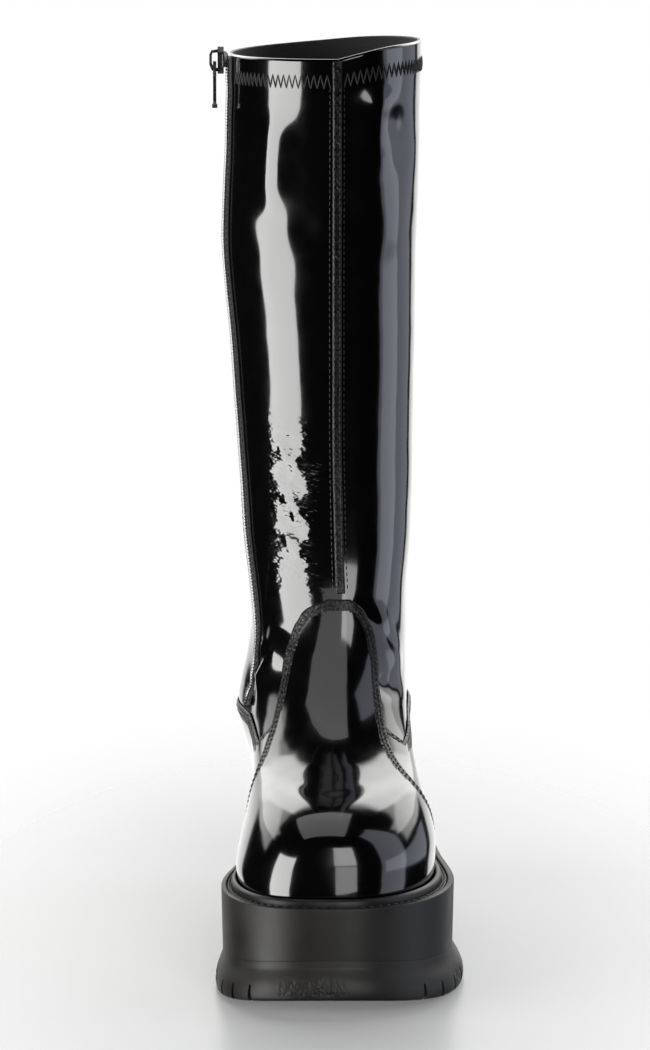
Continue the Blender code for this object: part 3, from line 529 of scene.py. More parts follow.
def threads(name, starts, ends, ups, radius, rise=0.8, slot="patent"):
    """Stitches: each a short thread that arches out of the leather and dives in at its ends"""
    lengthwise = ends - starts
    lengthwise /= np.linalg.norm(lengthwise, axis=1, keepdims=True)
    sideways = np.cross(ups, lengthwise)
    sideways /= np.linalg.norm(sideways, axis=1, keepdims=True)
    ups = np.cross(lengthwise, sideways)
    angles = np.arange(THREAD_SIDES) * 2 * math.pi / THREAD_SIDES
    points = np.empty((len(starts), THREAD_RINGS, THREAD_SIDES, 3))
    for i, share in enumerate(np.linspace(0, 1, THREAD_RINGS)):
        arch = math.sin(math.pi * share)
        middle = starts + (ends - starts) * share + ups * radius * (rise * arch - 0.4)
        thick = radius * (0.55 + 0.45 * arch)
        for j, angle in enumerate(angles):
            points[:, i, j] = middle + (sideways * math.cos(angle) + ups * math.sin(angle)) * thick
    size = THREAD_RINGS * THREAD_SIDES
    single = grid_faces(THREAD_RINGS, THREAD_SIDES, True).tolist()
    single += [list(range(THREAD_SIDES)), list(range(size - 1, size - THREAD_SIDES - 1, -1))]
    faces = repeated(single, size, len(starts))
    return piece(name, points, faces, [THREAD], None, turned=False)


def beside(levels, turns, distance):
    """A line on the skin moved sideways over the surface by a distance, to its left if positive"""
    tiny = 0.004
    up = (skin(levels + tiny, turns) - skin(levels - tiny, turns)) / (2 * tiny)
    across = (skin(levels, turns + tiny) - skin(levels, turns - tiny)) / (2 * tiny)
    normal = outward(levels, turns)
    line = skin(levels, turns)
    ahead = np.gradient(line, axis=0)
    ahead /= np.linalg.norm(ahead, axis=1, keepdims=True)
    side = np.cross(normal, ahead) * distance
    uu, aa, ua = (up * up).sum(1), (across * across).sum(1), (up * across).sum(1)
    us, sa = (up * side).sum(1), (across * side).sum(1)
    under = uu * aa - ua**2
    return levels + (us * aa - sa * ua) / under, turns + (sa * uu - us * ua) / under


def stitch_row(levels, turns, height, stitch):
    """Starts, ends and up directions of stitches along a line on the leather"""
    line = place(levels, turns, height)
    both = np.concatenate([line, outward(levels, turns)], 1)
    lengths = run_lengths(line)
    at = np.arange(stitch.pitch * 0.4, lengths[-1] - stitch.length, stitch.pitch)
    first, last = at_lengths(at, lengths, both), at_lengths(at + stitch.length, lengths, both)
    return first[:, :3], last[:, :3], first[:, 3:]


def join_rows(rows):
    return [np.concatenate([row[k] for row in rows]) for k in range(3)]


# Materials
def new_material(name):
    material = bpy.data.materials.new(name)
    material.use_nodes = True
    return material, material.node_tree, material.node_tree.nodes["Principled BSDF"]


def add(tree, kind, inputs=None, **settings):
    """A node with its settings and inputs; an input may be a number or another node's socket"""
    node = tree.nodes.new(kind)
    for key, value in settings.items():
        setattr(node, key, value)
    for key, value in (inputs or {}).items():
        if isinstance(value, bpy.types.NodeSocket):
            tree.links.new(value, node.inputs[key])
        else:
            node.inputs[key].default_value = value
    return node


def math_node(tree, operation, *values):
    return add(tree, "ShaderNodeMath", dict(enumerate(values)), operation=operation).outputs[0]


def times(tree, *values):
    """Product of two or more values"""
    out = values[0]
    for value in values[1:]:
        out = math_node(tree, "MULTIPLY", out, value)
    return out


def wave(tree, direction, inputs):
    return add(tree, "ShaderNodeTexWave", inputs, bands_direction=direction).outputs["Fac"]


def ranged(tree, value, start, end, **words):
    """0 to 1 as a value runs from start to end"""
    inputs = {"Value": value, "From Min": start, "From Max": end}
    return add(tree, "ShaderNodeMapRange", inputs, **words).outputs["Result"]


def place_of(tree):
    return add(tree, "ShaderNodeTexCoord").outputs["Object"]


def noise(tree, vector, scale, detail=2, roughness=0.5):
    inputs = {"Vector": vector, "Scale": scale, "Detail": detail, "Roughness": roughness}
    return add(tree, "ShaderNodeTexNoise", inputs).outputs["Fac"]


def ramp(tree, value, low, high):
    """Colour or grey between two ends as the value runs from 0.3 to 0.7"""
    node = add(tree, "ShaderNodeValToRGB", {"Fac": value})
    node.color_ramp.elements[0].position, node.color_ramp.elements[1].position = 0.3, 0.7
    node.color_ramp.elements[0].color = low if isinstance(low, tuple) else (low, low, low, 1)
    node.color_ramp.elements[1].color = high if isinstance(high, tuple) else (high, high, high, 1)
    return node.outputs["Color"]


def bump(tree, height, distance, strength=1.0, before=None):
    inputs = {"Height": height, "Distance": distance, "Strength": strength}
    if before:
        inputs["Normal"] = before
    return add(tree, "ShaderNodeBump", inputs).outputs["Normal"]


def between(tree, value, low, high, soft):
    """1 between two values, fading to 0 outside them"""
    ends = ((low - soft, low + soft), (high + soft, high - soft))
    return times(tree, *(ranged(tree, value, *pair, interpolation_type="SMOOTHSTEP") for pair in ends))


def set_values(shader, **values):
    """Set the shader's inputs, each a number or another node's socket"""
    for key, value in values.items():
        socket = shader.inputs[key.replace("_", " ")]
        if isinstance(value, bpy.types.NodeSocket):
            shader.id_data.links.new(value, socket)
        else:
            socket.default_value = value


def patent_material():
    material, tree, shader = new_material("patent_gloss")
    where = place_of(tree)
    x, y, z = add(tree, "ShaderNodeSeparateXYZ", {"Vector": where}).outputs
    # fine crumples at the front of the ankle, towards the inner side
    ankle = times(
        tree, between(tree, z, 0.180, 0.262, 0.012), between(tree, x, -0.040, -0.008, 0.006),
        math_node(tree, "LESS_THAN", y, -0.06),
    )
    drawn = add(tree, "ShaderNodeVectorMath", {0: where, 1: (120, 120, 300)}, operation="MULTIPLY").outputs[0]
    soft = bump(tree, noise(tree, where, 55, 1), 0.00012)
    soft = bump(tree, times(tree, noise(tree, drawn, 1), ankle), 0.0008, before=soft)
    set_values(
        shader, Coat_Weight=0.9, Coat_Roughness=0.012, Coat_IOR=1.5, IOR=1.5,
        Base_Color=ramp(tree, noise(tree, where, 30, 3), (.0010, .0010, .0011, 1), (.0016, .0016, .0017, 1)),
        Roughness=ramp(tree, noise(tree, where, 90, 4), .10, .16),
        Normal=bump(tree, noise(tree, where, 420), 0.000012, before=soft), Coat_Normal=soft,
    )
    return material


def piping_material():
    """Patent pulled into small puckers by its stitches, so it has no clear reflection"""
    material, tree, shader = new_material("patent_puckered")
    pucker = noise(tree, place_of(tree), 520, 3)
    pulled = bump(tree, pucker, 0.0006)
    set_values(
        shader, Coat_Weight=0.16, Coat_Roughness=0.12, Specular_IOR_Level=0.24, IOR=1.5,
        Base_Color=ramp(tree, pucker, (.001, .001, .001, 1), (.003, .003, .003, 1)),
        Roughness=ramp(tree, pucker, .20, .42), Normal=pulled, Coat_Normal=pulled,
    )
    return material


def fabric_material(name, low, high, scale, rough, depth):
    """Woven cloth: two crossed waves for the threads, with a little fuzz"""
    material, tree, shader = new_material(name)
    where = place_of(tree)
    inputs = {"Vector": where, "Scale": scale, "Distortion": 1.5, "Detail": 1.0}
    weave = times(tree, wave(tree, "Z", inputs), wave(tree, "DIAGONAL", inputs))
    fuzz = times(tree, noise(tree, where, 60, 4), 0.5)
    set_values(
        shader, Roughness=rough, Sheen_Weight=0.25, Sheen_Roughness=0.5,
        Base_Color=ramp(tree, math_node(tree, "ADD", times(tree, weave, 0.6), fuzz), low, high),
        Normal=bump(tree, weave, depth),
    )
    return material


def thread_material():
    material, tree, shader = new_material("thread_black")
    twist = wave(tree, "DIAGONAL", {"Vector": place_of(tree), "Scale": 900.0, "Distortion": 2.0})
    set_values(
        shader, Roughness=0.42, Sheen_Weight=0.08, Normal=bump(tree, twist, 0.00008),
        Base_Color=ramp(tree, twist, (.0018, .0018, .0018, 1), (.0065, .0065, .0065, 1)),
    )
    return material


def metal_material():
    material, tree, shader = new_material("dark_metal_worn")
    wear = ranged(tree, add(tree, "ShaderNodeNewGeometry").outputs["Pointiness"], 0.52, 0.62)
    spots = noise(tree, place_of(tree), 700, 4)
    colour = math_node(tree, "ADD", times(tree, spots, 0.45), times(tree, wear, 0.5))
    set_values(
        shader, Metallic=1.0, Base_Color=ramp(tree, colour, (.045, .045, .048, 1), (.22, .22, .23, 1)),
        Roughness=ramp(tree, spots, .22, .36), Normal=bump(tree, spots, 0.00003),
    )
    return material


def rubber_material(name, low, high, rough_low, rough_high, shine=0.5):
    """Moulded rubber: fine tooth, soft mottling, a little dust; painted shade dims its shine in crevices"""
    material, tree, shader = new_material(name)
    where = place_of(tree)
    mottle, speck = noise(tree, where, 24, 5, 0.6), noise(tree, where, 900, 3)
    mix = math_node(tree, "ADD", times(tree, mottle, 0.75), times(tree, speck, 0.25))
    # painted shade: ambient occlusion dims the rubber's shine in its crevices and notches
    crevice_shade = add(tree, "ShaderNodeAmbientOcclusion", {"Distance": 0.006}, samples=6).outputs["AO"]
    fine = bump(tree, speck, 0.00004)
    set_values(
        shader, IOR=1.5, Base_Color=ramp(tree, mix, low, high),
        Roughness=ramp(tree, mottle, rough_low, rough_high),
        Specular_IOR_Level=times(tree, math_node(tree, "POWER", crevice_shade, 1.6), shine),
        Normal=bump(tree, noise(tree, where, 130, 3), 0.00008, before=fine),
    )
    return material


PATENT = patent_material()
PIPING = piping_material()
LINING = fabric_material(
    "lining_knit", (.0022, .0022, .0024, 1), (.007, .007, .0074, 1), 620.0, 0.85, 0.00012
)
TAPE = fabric_material(
    "zip_tape_weave", (.004, .004, .0045, 1), (.013, .013, .014, 1), 520.0, 0.7, 0.00012
)
THREAD = thread_material()
METAL = metal_material()
WELT = rubber_material("welt_rubber", (.006, .006, .006, 1), (.012, .012, .0115, 1), .36, .50)
RUBBER = rubber_material(
    "sole_rubber", (.0095, .0088, .0076, 1), (.0165, .0152, .0130, 1), .42, .58, 0.36
)
EDGE = rubber_material("cut_edge", (.012, .012, .013, 1), (.03, .03, .03, 1), .35, .5)


# Upper
AROUND = 252
RIM_RADIUS = 0.0008


def make_upper():
    turns = np.arange(AROUND) / AROUND
    levels = np.concatenate([
        np.linspace(0, 6.6, 16), np.linspace(6.9, 12.2, 84), np.linspace(12.26, HEM_LEVEL - 0.03, 150),
        HEM_LEVEL + np.array([-.018, -.008, .0, .008, .018]), np.linspace(HEM_LEVEL + 0.04, TOP - 0.012, 14),
    ])
    outer = place(levels[:, None], turns[None], hem(levels)[:, None])
    rim, edge = [], []
    for angle in np.radians((20, 45, 70, 90)):
        line = place(TOP, turns, HEM_STEP - RIM_RADIUS * (1 - math.cos(angle)))
        rim.append(line + np.array([0, 0, RIM_RADIUS * math.sin(angle) - RIM_RADIUS]))
    for angle in np.radians((90, 60, 30)):
        line = place(TOP, turns, -WALL + RIM_RADIUS * (1 - math.cos(angle)))
        edge.append(line + np.array([0, 0, RIM_RADIUS * math.sin(angle) - RIM_RADIUS]))
    inner_levels = np.concatenate([np.linspace(TOP - 0.03, 12.2, 70), np.linspace(12, 0, 40)])
    inner = place(inner_levels[:, None], turns[None], -WALL)
    points = np.concatenate([outer, np.array(rim), np.array(edge), inner])
    faces = closed_faces(len(points), AROUND)
    row, cut_edge = np.arange(len(faces)) // AROUND, len(outer) + len(rim) - 1
    picks = np.select([row < cut_edge, row < cut_edge + len(edge), row < len(points) - 1], [0, 1, 2])
    piece("upper_leather", points, faces, [PATENT, EDGE, LINING], "upper", picks)


def vamp_outline(level):
    rows = column(VAMP, "level")
    return smooth(rows, column(VAMP, "inside"), level), smooth(rows, column(VAMP, "outside"), level)


VAMP_TOP = 12.08
VAMP_OUT = 0.0021
# Puckered bands along the panels' edges, how far the quarter's face stands out of the skin, how far
# (in turns) it runs under the vamp, and how wide the panels' rounded edges are
VAMP_BAND, QUARTER_BAND = 0.0054, 0.0049
QUARTER_OUT_TO = PANEL_GAP + LAYER - 0.0003
UNDERLAP = 0.010
VAMP_ROLL, QUARTER_ROLL = 0.0011, 0.0009


def vamp_height(levels):
    """How far the vamp's face stands out of the skin"""
    return PANEL_GAP + LAYER + (VAMP_OUT - PANEL_GAP - LAYER) * ease((levels - 1.5) / 2)


def vamp_edge_line(count=500):
    """The vamp's free edge, up the inner side, over the top and down the outer side"""
    climb = np.concatenate([np.linspace(0, 11.6, count), np.linspace(11.61, VAMP_TOP, 60)])
    inside, outside = vamp_outline(climb)
    over = np.linspace(-inside[-1], outside[-1], 24)[1:-1]
    levels = np.concatenate([climb, np.full(22, VAMP_TOP), climb[::-1]])
    return levels, np.concatenate([-inside, over, outside[::-1]])


def edge_gap(points, line):
    """Distance of each point to the nearest point of a line"""
    flat = points.reshape(-1, 3)
    out = np.empty(len(flat))
    for start in range(0, len(flat), 4000):
        part = flat[start:start + 4000]
        out[start:start + 4000] = np.sqrt(((part[:, None] - line[None]) ** 2).sum(2).min(1))
    return out.reshape(points.shape[:-1])


def rolled(gap, radius, low, high):
    """Height of a panel near its edge, rounded over a radius"""
    share = np.clip(gap / radius, 0, 1)
    return low + (high - low) * np.sqrt(1 - (1 - share) ** 2)


def make_vamp():
    levels = np.concatenate([
        np.linspace(0, 7, 76), np.linspace(7.08, 11.5, 64), np.linspace(11.54, VAMP_TOP - 0.06, 16),
        VAMP_TOP - np.array([.045, .033, .022, .012, .004, 0]),
    ])
    grid_levels, grid_turns = [], []
    for level in levels:
        inside, outside = (float(v) for v in vamp_outline(level))
        dense = np.linspace(-inside, outside, 200)
        lengths = run_lengths(skin(level, dense))
        whole = lengths[-1]
        narrow = min(1, whole / 0.02)
        near = np.array([0, .0002, .0005, .0009, .0014]) * narrow
        middle = np.linspace(.0022 * narrow, whole - .0022 * narrow, 110)
        at = np.concatenate([near, middle, whole - near[::-1]])
        grid_levels.append(np.full(len(at), level))
        grid_turns.append(np.interp(at, lengths, dense))
    grid_levels, grid_turns = np.array(grid_levels), np.array(grid_turns)
    gap = edge_gap(skin(grid_levels, grid_turns), skin(*vamp_edge_line()))
    rise = rolled(gap, VAMP_ROLL, PANEL_GAP + 0.0002, vamp_height(grid_levels))
    high, low = place(grid_levels, grid_turns, rise), place(grid_levels, grid_turns, PANEL_GAP)
    slab("vamp_leather", high, low, [PATENT, PIPING], "vamp", gap < VAMP_BAND)


def quarter_top(turn):
    """Level of the quarter's top edge at a turn from -0.5 to 0.5"""
    inner = np.interp(-turn, column(QUARTER_IN, "round"), column(QUARTER_IN, "level"))
    outer = np.interp(turn, column(QUARTER_OUT, "round"), column(QUARTER_OUT, "level"))
    return np.where(turn < 0, inner, outer)


def make_quarter():
    """Heel and side panel. Its front runs a little way under the vamp"""
    level_rows = np.linspace(0, 1, 64) ** 0.85
    level_rows = np.concatenate([level_rows[:-6], 1 - np.array([.03, .02, .012, .006, .002, 0])])
    turns = np.concatenate([
        np.linspace(.09, .16, 26), np.linspace(.1635, .20, 14), np.linspace(.205, .5, 78),
        -np.linspace(.5, .245, 68)[1:], -np.linspace(.24, .19, 18), -np.linspace(.1865, .11, 26),
    ])
    grid_levels = level_rows[:, None] * quarter_top(turns)[None]
    grid_turns = np.broadcast_to(turns[None], grid_levels.shape)
    edge_turns = np.concatenate([np.linspace(.09, .5, 500), -np.linspace(.5, .11, 480)])
    gap = edge_gap(skin(grid_levels, grid_turns), skin(quarter_top(edge_turns), edge_turns))
    high = place(grid_levels, grid_turns, rolled(gap, QUARTER_ROLL, PANEL_GAP + 0.0001, QUARTER_OUT_TO))
    low = place(grid_levels, grid_turns, PANEL_GAP)
    inside, outside = vamp_outline(np.clip(grid_levels, 0, VAMP_TOP))
    deep = np.where(grid_turns < 0, -grid_turns < inside - UNDERLAP, grid_turns < outside - UNDERLAP)
    top = grid_faces(*grid_levels.shape)
    top = top[~deep.reshape(-1)[top].all(1)]
    # the open borders of what is left are closed by a rim between the two grids
    size = grid_levels.size
    pairs = np.concatenate([top[:, [0, 1]], top[:, [1, 2]], top[:, [2, 3]], top[:, [3, 0]]])
    known = {(int(a), int(b)) for a, b in pairs}
    border = np.array([(a, b) for a, b in known if (b, a) not in known])
    rim = np.stack([border[:, 0], border[:, 1], border[:, 1] + size, border[:, 0] + size], -1)
    faces = np.concatenate([top, top[:, ::-1] + size, rim])
    points = np.concatenate([high.reshape(-1, 3), low.reshape(-1, 3)])
    used = np.unique(faces)
    index = np.zeros(len(points), int)
    index[used] = np.arange(len(used))
    picks = band_picks(gap.reshape(-1)[top].mean(1) < QUARTER_BAND, len(rim))
    piece("quarter_leather", points[used], index[faces], [PATENT, PIPING], "quarter", picks)


SEAM_PUCKER = 0.00012
SEAM_PUCKER_PITCH = 0.0062


def make_seam(name, turn, levels, node):
    """Raised strip over a seam, crowned across, with small puckers along its sides"""
    shares = np.linspace(-1, 1, 11)
    middle = skin(levels, turn)
    side = skin(levels, turn + 0.005) - skin(levels, turn - 0.005)
    around_turn = 0.01 / np.linalg.norm(side, axis=1)
    turns = turn + shares[None] * (SEAM_HALF * around_turn)[:, None]
    crown = GAP + 0.0003 + 0.0006 * np.clip(1 - np.abs(shares) ** 6, 0, 1) ** 0.5
    wave_turn = run_lengths(middle) * 2 * math.pi / SEAM_PUCKER_PITCH
    pucker = SEAM_PUCKER * np.sin(wave_turn)[:, None] * np.abs(shares)[None]
    step = hem(levels)[:, None]
    high = place(levels[:, None], turns, crown[None] + pucker + step)
    low = place(levels[:, None], turns, GAP + step)
    slab(name, high, low, [PIPING], node)


def make_seams():
    shaft = np.concatenate([
        np.linspace(12.2, HEM_LEVEL - .03, 260), HEM_LEVEL + np.array([-.01, 0, .01]),
        np.linspace(HEM_LEVEL + .03, TOP - .02, 16),
    ])
    make_seam("front_seam_strip", 0.0, shaft, "front_seam")
    back = np.concatenate([np.linspace(7.6, 12.1, 130), shaft])
    make_seam("back_seam_strip", 0.5, back, "back_seam")
    rows = []
    for turn, levels in ((0.0, shaft[2:]), (0.5, back)):
        levels = levels[levels < HEM_LEVEL + 0.3]
        for away, height, stitch in ((.0013, GAP + .0010, SEAM_STITCH), (.0036, .00005, SIDE_STITCH)):
            for side in (-away, away):
                line = beside(levels, np.full(len(levels), turn), side)
                rows.append(stitch_row(*line, height, stitch))
    threads("seam_stitches", *join_rows(rows), SEAM_THREAD)


def make_panel_stitches():
    rows = []
    levels, turns = vamp_edge_line()
    keep = levels > 1.2
    for distance in (-0.0020, -0.0041):
        lv, tn = beside(levels[keep], turns[keep], distance)
        rows.append(stitch_row(lv, tn, vamp_height(lv), PANEL_STITCH))
    for start, end, count in (
        (.118, .16, 60), (.16, .20, 60), (.20, .5, 300), (-.5, -.24, 260), (-.24, -.19, 60), (-.19, -.145, 60)
    ):
        turns = np.linspace(start, end, count)
        for distance in (-0.0018, -0.0038):
            lv, tn = beside(quarter_top(turns), turns, distance)
            inside, outside = vamp_outline(np.clip(lv, 0, VAMP_TOP))
            free = np.where(tn < 0, -tn > inside + 0.006, tn > outside + 0.006)
            if free.sum() > 4:
                rows.append(stitch_row(lv[free], tn[free], QUARTER_OUT_TO, PANEL_STITCH))
    threads("panel_stitches", *join_rows(rows), PANEL_THREAD)


# Levels of the zigzag's lower and upper points, and the turns left free beside the zip and the seams
ZIGZAG_LOW, ZIGZAG_HIGH = TOP - 0.335, TOP - 0.175
FREE_OF_ZIP, FREE_OF_SEAM = 0.026, 0.010


def make_hem_stitches():
    """Zigzag round the collar, eight to fifteen millimetres below its edge"""
    dense = np.linspace(0, 1, 1200)
    lengths = run_lengths(place((ZIGZAG_LOW + ZIGZAG_HIGH) / 2, dense))
    count = int(lengths[-1] / HEM_PITCH)
    steps = np.arange(2 * count + 1)
    at = np.interp(steps * lengths[-1] / (2 * count), lengths, dense)
    levels = np.where(steps % 2 == 0, ZIGZAG_LOW, ZIGZAG_HIGH)
    points, ups = place(levels, at, HEM_STEP), outward(levels, at)
    # nothing is sewn over the zip or the two seams
    middle = (at[:-1] + at[1:]) / 2
    free = (np.abs(middle - (1 - ZIP[-1].round)) > FREE_OF_ZIP) & (np.abs(middle - 0.5) > FREE_OF_SEAM)
    free &= (middle > FREE_OF_SEAM) & (middle < 1 - FREE_OF_SEAM)
    threads("hem_zigzag", points[:-1][free], points[1:][free], ups[:-1][free], HEM_THREAD)


# Zip
def zip_turn_at(level):
    return -smooth(column(ZIP, "level"), column(ZIP, "round"), level)


ZIP_LEVELS = np.concatenate([np.linspace(8.36, 12.2, 120), np.linspace(12.25, TOP - 0.03, 220)])


def make_zip():
    levels, turns = ZIP_LEVELS, zip_turn_at(ZIP_LEVELS)
    step = hem(levels)
    high, low = [], []
    for share in (-1, -.8, -.5, -.2, 0, .2, .5, .8, 1):
        lv, tn = beside(levels, turns, TAPE_HALF * share)
        lip = 0.0005 * (abs(share) > 0.45) * (abs(share) < 1)
        high.append(place(lv, tn, GAP + 0.0005 + lip + step))
        low.append(place(lv, tn, GAP + step))
    slab("zip_tape_cloth", np.stack(high, 1), np.stack(low, 1), [TAPE], "zip_tape")
    rows = []
    for distance in (-0.0050, -0.0030, 0.0030, 0.0050):
        lv, tn = beside(levels, turns, distance)
        rows.append(stitch_row(lv, tn, GAP + 0.0010 + float(step[0]), ZIP_STITCH))
    threads("zip_stitches", *join_rows(rows), SEAM_THREAD)
    make_teeth(levels, turns, step)


TOOTH_PITCH = 0.00155
# A tooth seen from above, as its place across the zip and its share of TOOTH_LONG along it, and the
# heights and shares of its three rings, which shrink about a line beside the middle
TOOTH = [(-.0004, -.45), (-.0004, .45), (.0006, .62), (.0019, .5), (.0019, -.5), (.0006, -.62)]
TOOTH_LONG = 0.00105
TOOTH_RINGS = [(0.0, 1.0), (0.0009, 1.0), (0.0012, 0.72)]
TOOTH_CENTRE = 0.0007


def make_teeth(levels, turns, step):
    """Two rows of small moulded teeth that mesh along the middle"""
    line = place(levels, turns, GAP + 0.0008 + step)
    lengths = run_lengths(line)
    at = np.arange(0.001, lengths[-1] - 0.001, TOOTH_PITCH / 2)
    here = at_lengths(at, lengths, np.concatenate([line, outward(levels, turns)], 1))
    ahead = np.gradient(here[:, :3], axis=0)
    ahead /= np.linalg.norm(ahead, axis=1, keepdims=True)
    up = here[:, 3:]
    side = np.cross(up, ahead)
    sign = np.where(np.arange(len(at)) % 2 == 0, 1.0, -1.0)[:, None]
    rings = []
    for height, scale in TOOTH_RINGS:
        for across, long in TOOTH:
            aside = side * sign * (TOOTH_CENTRE + (across - TOOTH_CENTRE) * scale)
            rings.append(here[:, :3] + aside + ahead * long * TOOTH_LONG * scale + up * height)
    count, size = len(TOOTH), len(rings)
    single = grid_faces(len(TOOTH_RINGS), count, True).tolist()
    single += [list(range(count))[::-1], list(range(size - count, size))]
    faces = repeated(single, size, len(at))
    piece("zip_teeth", np.stack(rings, 1), faces, [METAL], "zip_chain", sharp=35)


def bevelled_copy(node, name, body, width):
    """A CAD solid's own mesh with its edges softened"""
    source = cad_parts[node]
    item = linked(name, source.data.copy())
    item.matrix_world = source.matrix_world.copy()
    item.data.materials.clear()
    item.data.materials.append(METAL)
    bevel = item.modifiers.new("Soft edges", "BEVEL")
    bevel.width, bevel.segments = width, 2
    bevel.limit_method = "ANGLE"
    bevel.angle_limit = math.radians(35)
    item.data.shade_smooth()
    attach(item, body)
    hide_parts(node)


def make_flanges():
    """The slider's sides, which wrap round the teeth and hold it to the zip"""
    low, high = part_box("zip_slider")
    inner, middle_y, middle_z = high.x, (low.y + high.y) / 2, (low.z + high.z) / 2
    half_y, half_z = (high.y - low.y) / 2, (high.z - low.z) / 2
    outline = [
        (inner - .0006, -.50), (inner - .0006, .62), (inner + .0008, .60), (inner + .0021, .42),
        (inner + .0021, -.34), (inner + .0008, -.52),
    ]
    for name, side in (("slider_flange_front", -1), ("slider_flange_back", 1)):
        points = [
            (x, middle_y + side * half_y * share, middle_z + z * half_z)
            for share in (.70, .96) for x, z in outline
        ]
        item = piece(name, points, prism_faces(len(outline)), [METAL], None)
        bevel = item.modifiers.new("Soft edges", "BEVEL")
        bevel.width, bevel.segments = 0.00025, 2


# Sole
SOLE_MIDDLE = along(0.5 * FOOT_LENGTH)


def feather_line(turns, distance):
    """Plan outline at a distance outside the upper's lowest section"""
    base = skin(0.0, turns)
    reach = 0.003
    along_line = skin(0.0, turns + reach) - skin(0.0, turns - reach)
    normal = np.stack([along_line[:, 1], -along_line[:, 0], 0 * turns], -1)
    normal /= np.linalg.norm(normal, axis=1, keepdims=True)
    if ((base - base.mean(0)) * normal).sum() < 0:
        normal = -normal
    return base[:, :2] + normal[:, :2] * np.asarray(distance)[..., None]


def sole_column(name, turns):
    """The rim or the flare at each turn"""
    size = RIM_OUT if name == "rim" else FLARE_OUT
    turns = np.asarray(turns) % 1.0
    fold = np.minimum(turns, 1 - turns)
    rounds = column(SOLE, "round")
    inside = smooth(rounds, column(SOLE, name + "_in"), fold)
    outside = smooth(rounds, column(SOLE, name + "_out"), fold)
    return size * np.where(turns <= 0.5, outside, inside)


def flat_loop(turns, distance, height):
    plan = feather_line(turns, distance)
    return np.concatenate([plan, height(plan[:, 1])[:, None]], 1)


def even_turns(count):
    """Turns evenly spaced along the sole's rim"""
    dense = np.linspace(0, 1, 2001)
    lengths = run_lengths(feather_line(dense, sole_column("rim", dense)))
    return np.interp(np.arange(count) * lengths[-1] / count, lengths, dense)


def filled(loops, centre_high, centre_low):
    """Loops joined one to the next, the first and last filled by fans to middle points that are added"""
    rows, count = loops.shape[:2]
    faces = grid_faces(rows, count, True).tolist()
    points = np.concatenate([loops.reshape(-1, 3), [centre_high, centre_low]])
    high, low, last = rows * count, rows * count + 1, (rows - 1) * count
    for i in range(count):
        ahead = (i + 1) % count
        faces += [[i, ahead, high], [last + ahead, last + i, low]]
    return points, faces


def at_deck(rise):
    return lambda y: deck(y) + rise


def at_sole(rise):
    return lambda y: sole_bottom(y) + rise


def make_platform():
    turns = even_turns(420)
    rim = sole_column("rim", turns)
    lip = LIP_SHARE * (rim - WELT_INNER)
    loops = [flat_loop(turns, distance, at_deck(rise)) for distance, rise in (
        (0.0 * rim - 0.004, 0), (rim - lip - 0.0002, 0), (rim - lip, 0.0002), (rim - lip + 0.0003, LIP_HIGH),
        (rim - 0.0012, LIP_HIGH), (rim, LIP_HIGH), (rim, LIP_HIGH - 0.0016),
    )]
    low = flat_loop(turns, rim - WALL_DRAFT, at_sole(TREAD_HEIGHT + GAP))
    last = loops[-1]
    loops += [last + (low - last) * share for share in (.12, .3, .5, .7, .9, 1.0)]
    under = flat_loop(turns, rim - 0.006, at_sole(TREAD_HEIGHT + GAP))
    loops = np.concatenate([rounded(np.array(loops), 2), under[None]])
    bottom = sole_bottom(SOLE_MIDDLE) + TREAD_HEIGHT + GAP
    points, faces = filled(loops, [0, SOLE_MIDDLE, deck(SOLE_MIDDLE)], [0, SOLE_MIDDLE, bottom])
    piece("platform_block", points, faces, [RUBBER], "platform", sharp=50)


# Rough patches moulded into the flare: where round the sole, and how wide
PATCH_DEPTH = 0.0006
Patch = namedtuple("Patch", "turn half")
PATCHES = [Patch(*row) for row in (
    (-.012, .034), (.150, .022), (.290, .022), (.50, .032),
    (-.150, .020), (-.290, .022), (.225, .014),
)]


def patch_share(turns):
    """How much each patch counts at a turn, fading towards its ends"""
    out = np.zeros((len(PATCHES), len(turns)))
    for k, patch in enumerate(PATCHES):
        away = np.abs((turns - patch.turn + 0.5) % 1.0 - 0.5)
        out[k] = ease((patch.half - away) / (patch.half * 0.8))
    return out


GRIT_SCALE, PATCHY_SCALE = 700, 210


def crags(point):
    """Grainy rock-like relief from 0 to 1, rising and falling over wider patches"""
    flat = point.reshape(-1, 3)
    out = np.empty(len(flat))
    for i, spot in enumerate(flat.tolist()):
        where = Vector(spot)
        grit = noise_at.fractal(where * GRIT_SCALE, 0.5, 2.0, 3)
        out[i] = 0.5 + 0.45 * grit + 0.40 * noise_at.noise(where * PATCHY_SCALE)
    return np.clip(out, 0, 1).reshape(point.shape[:-1])


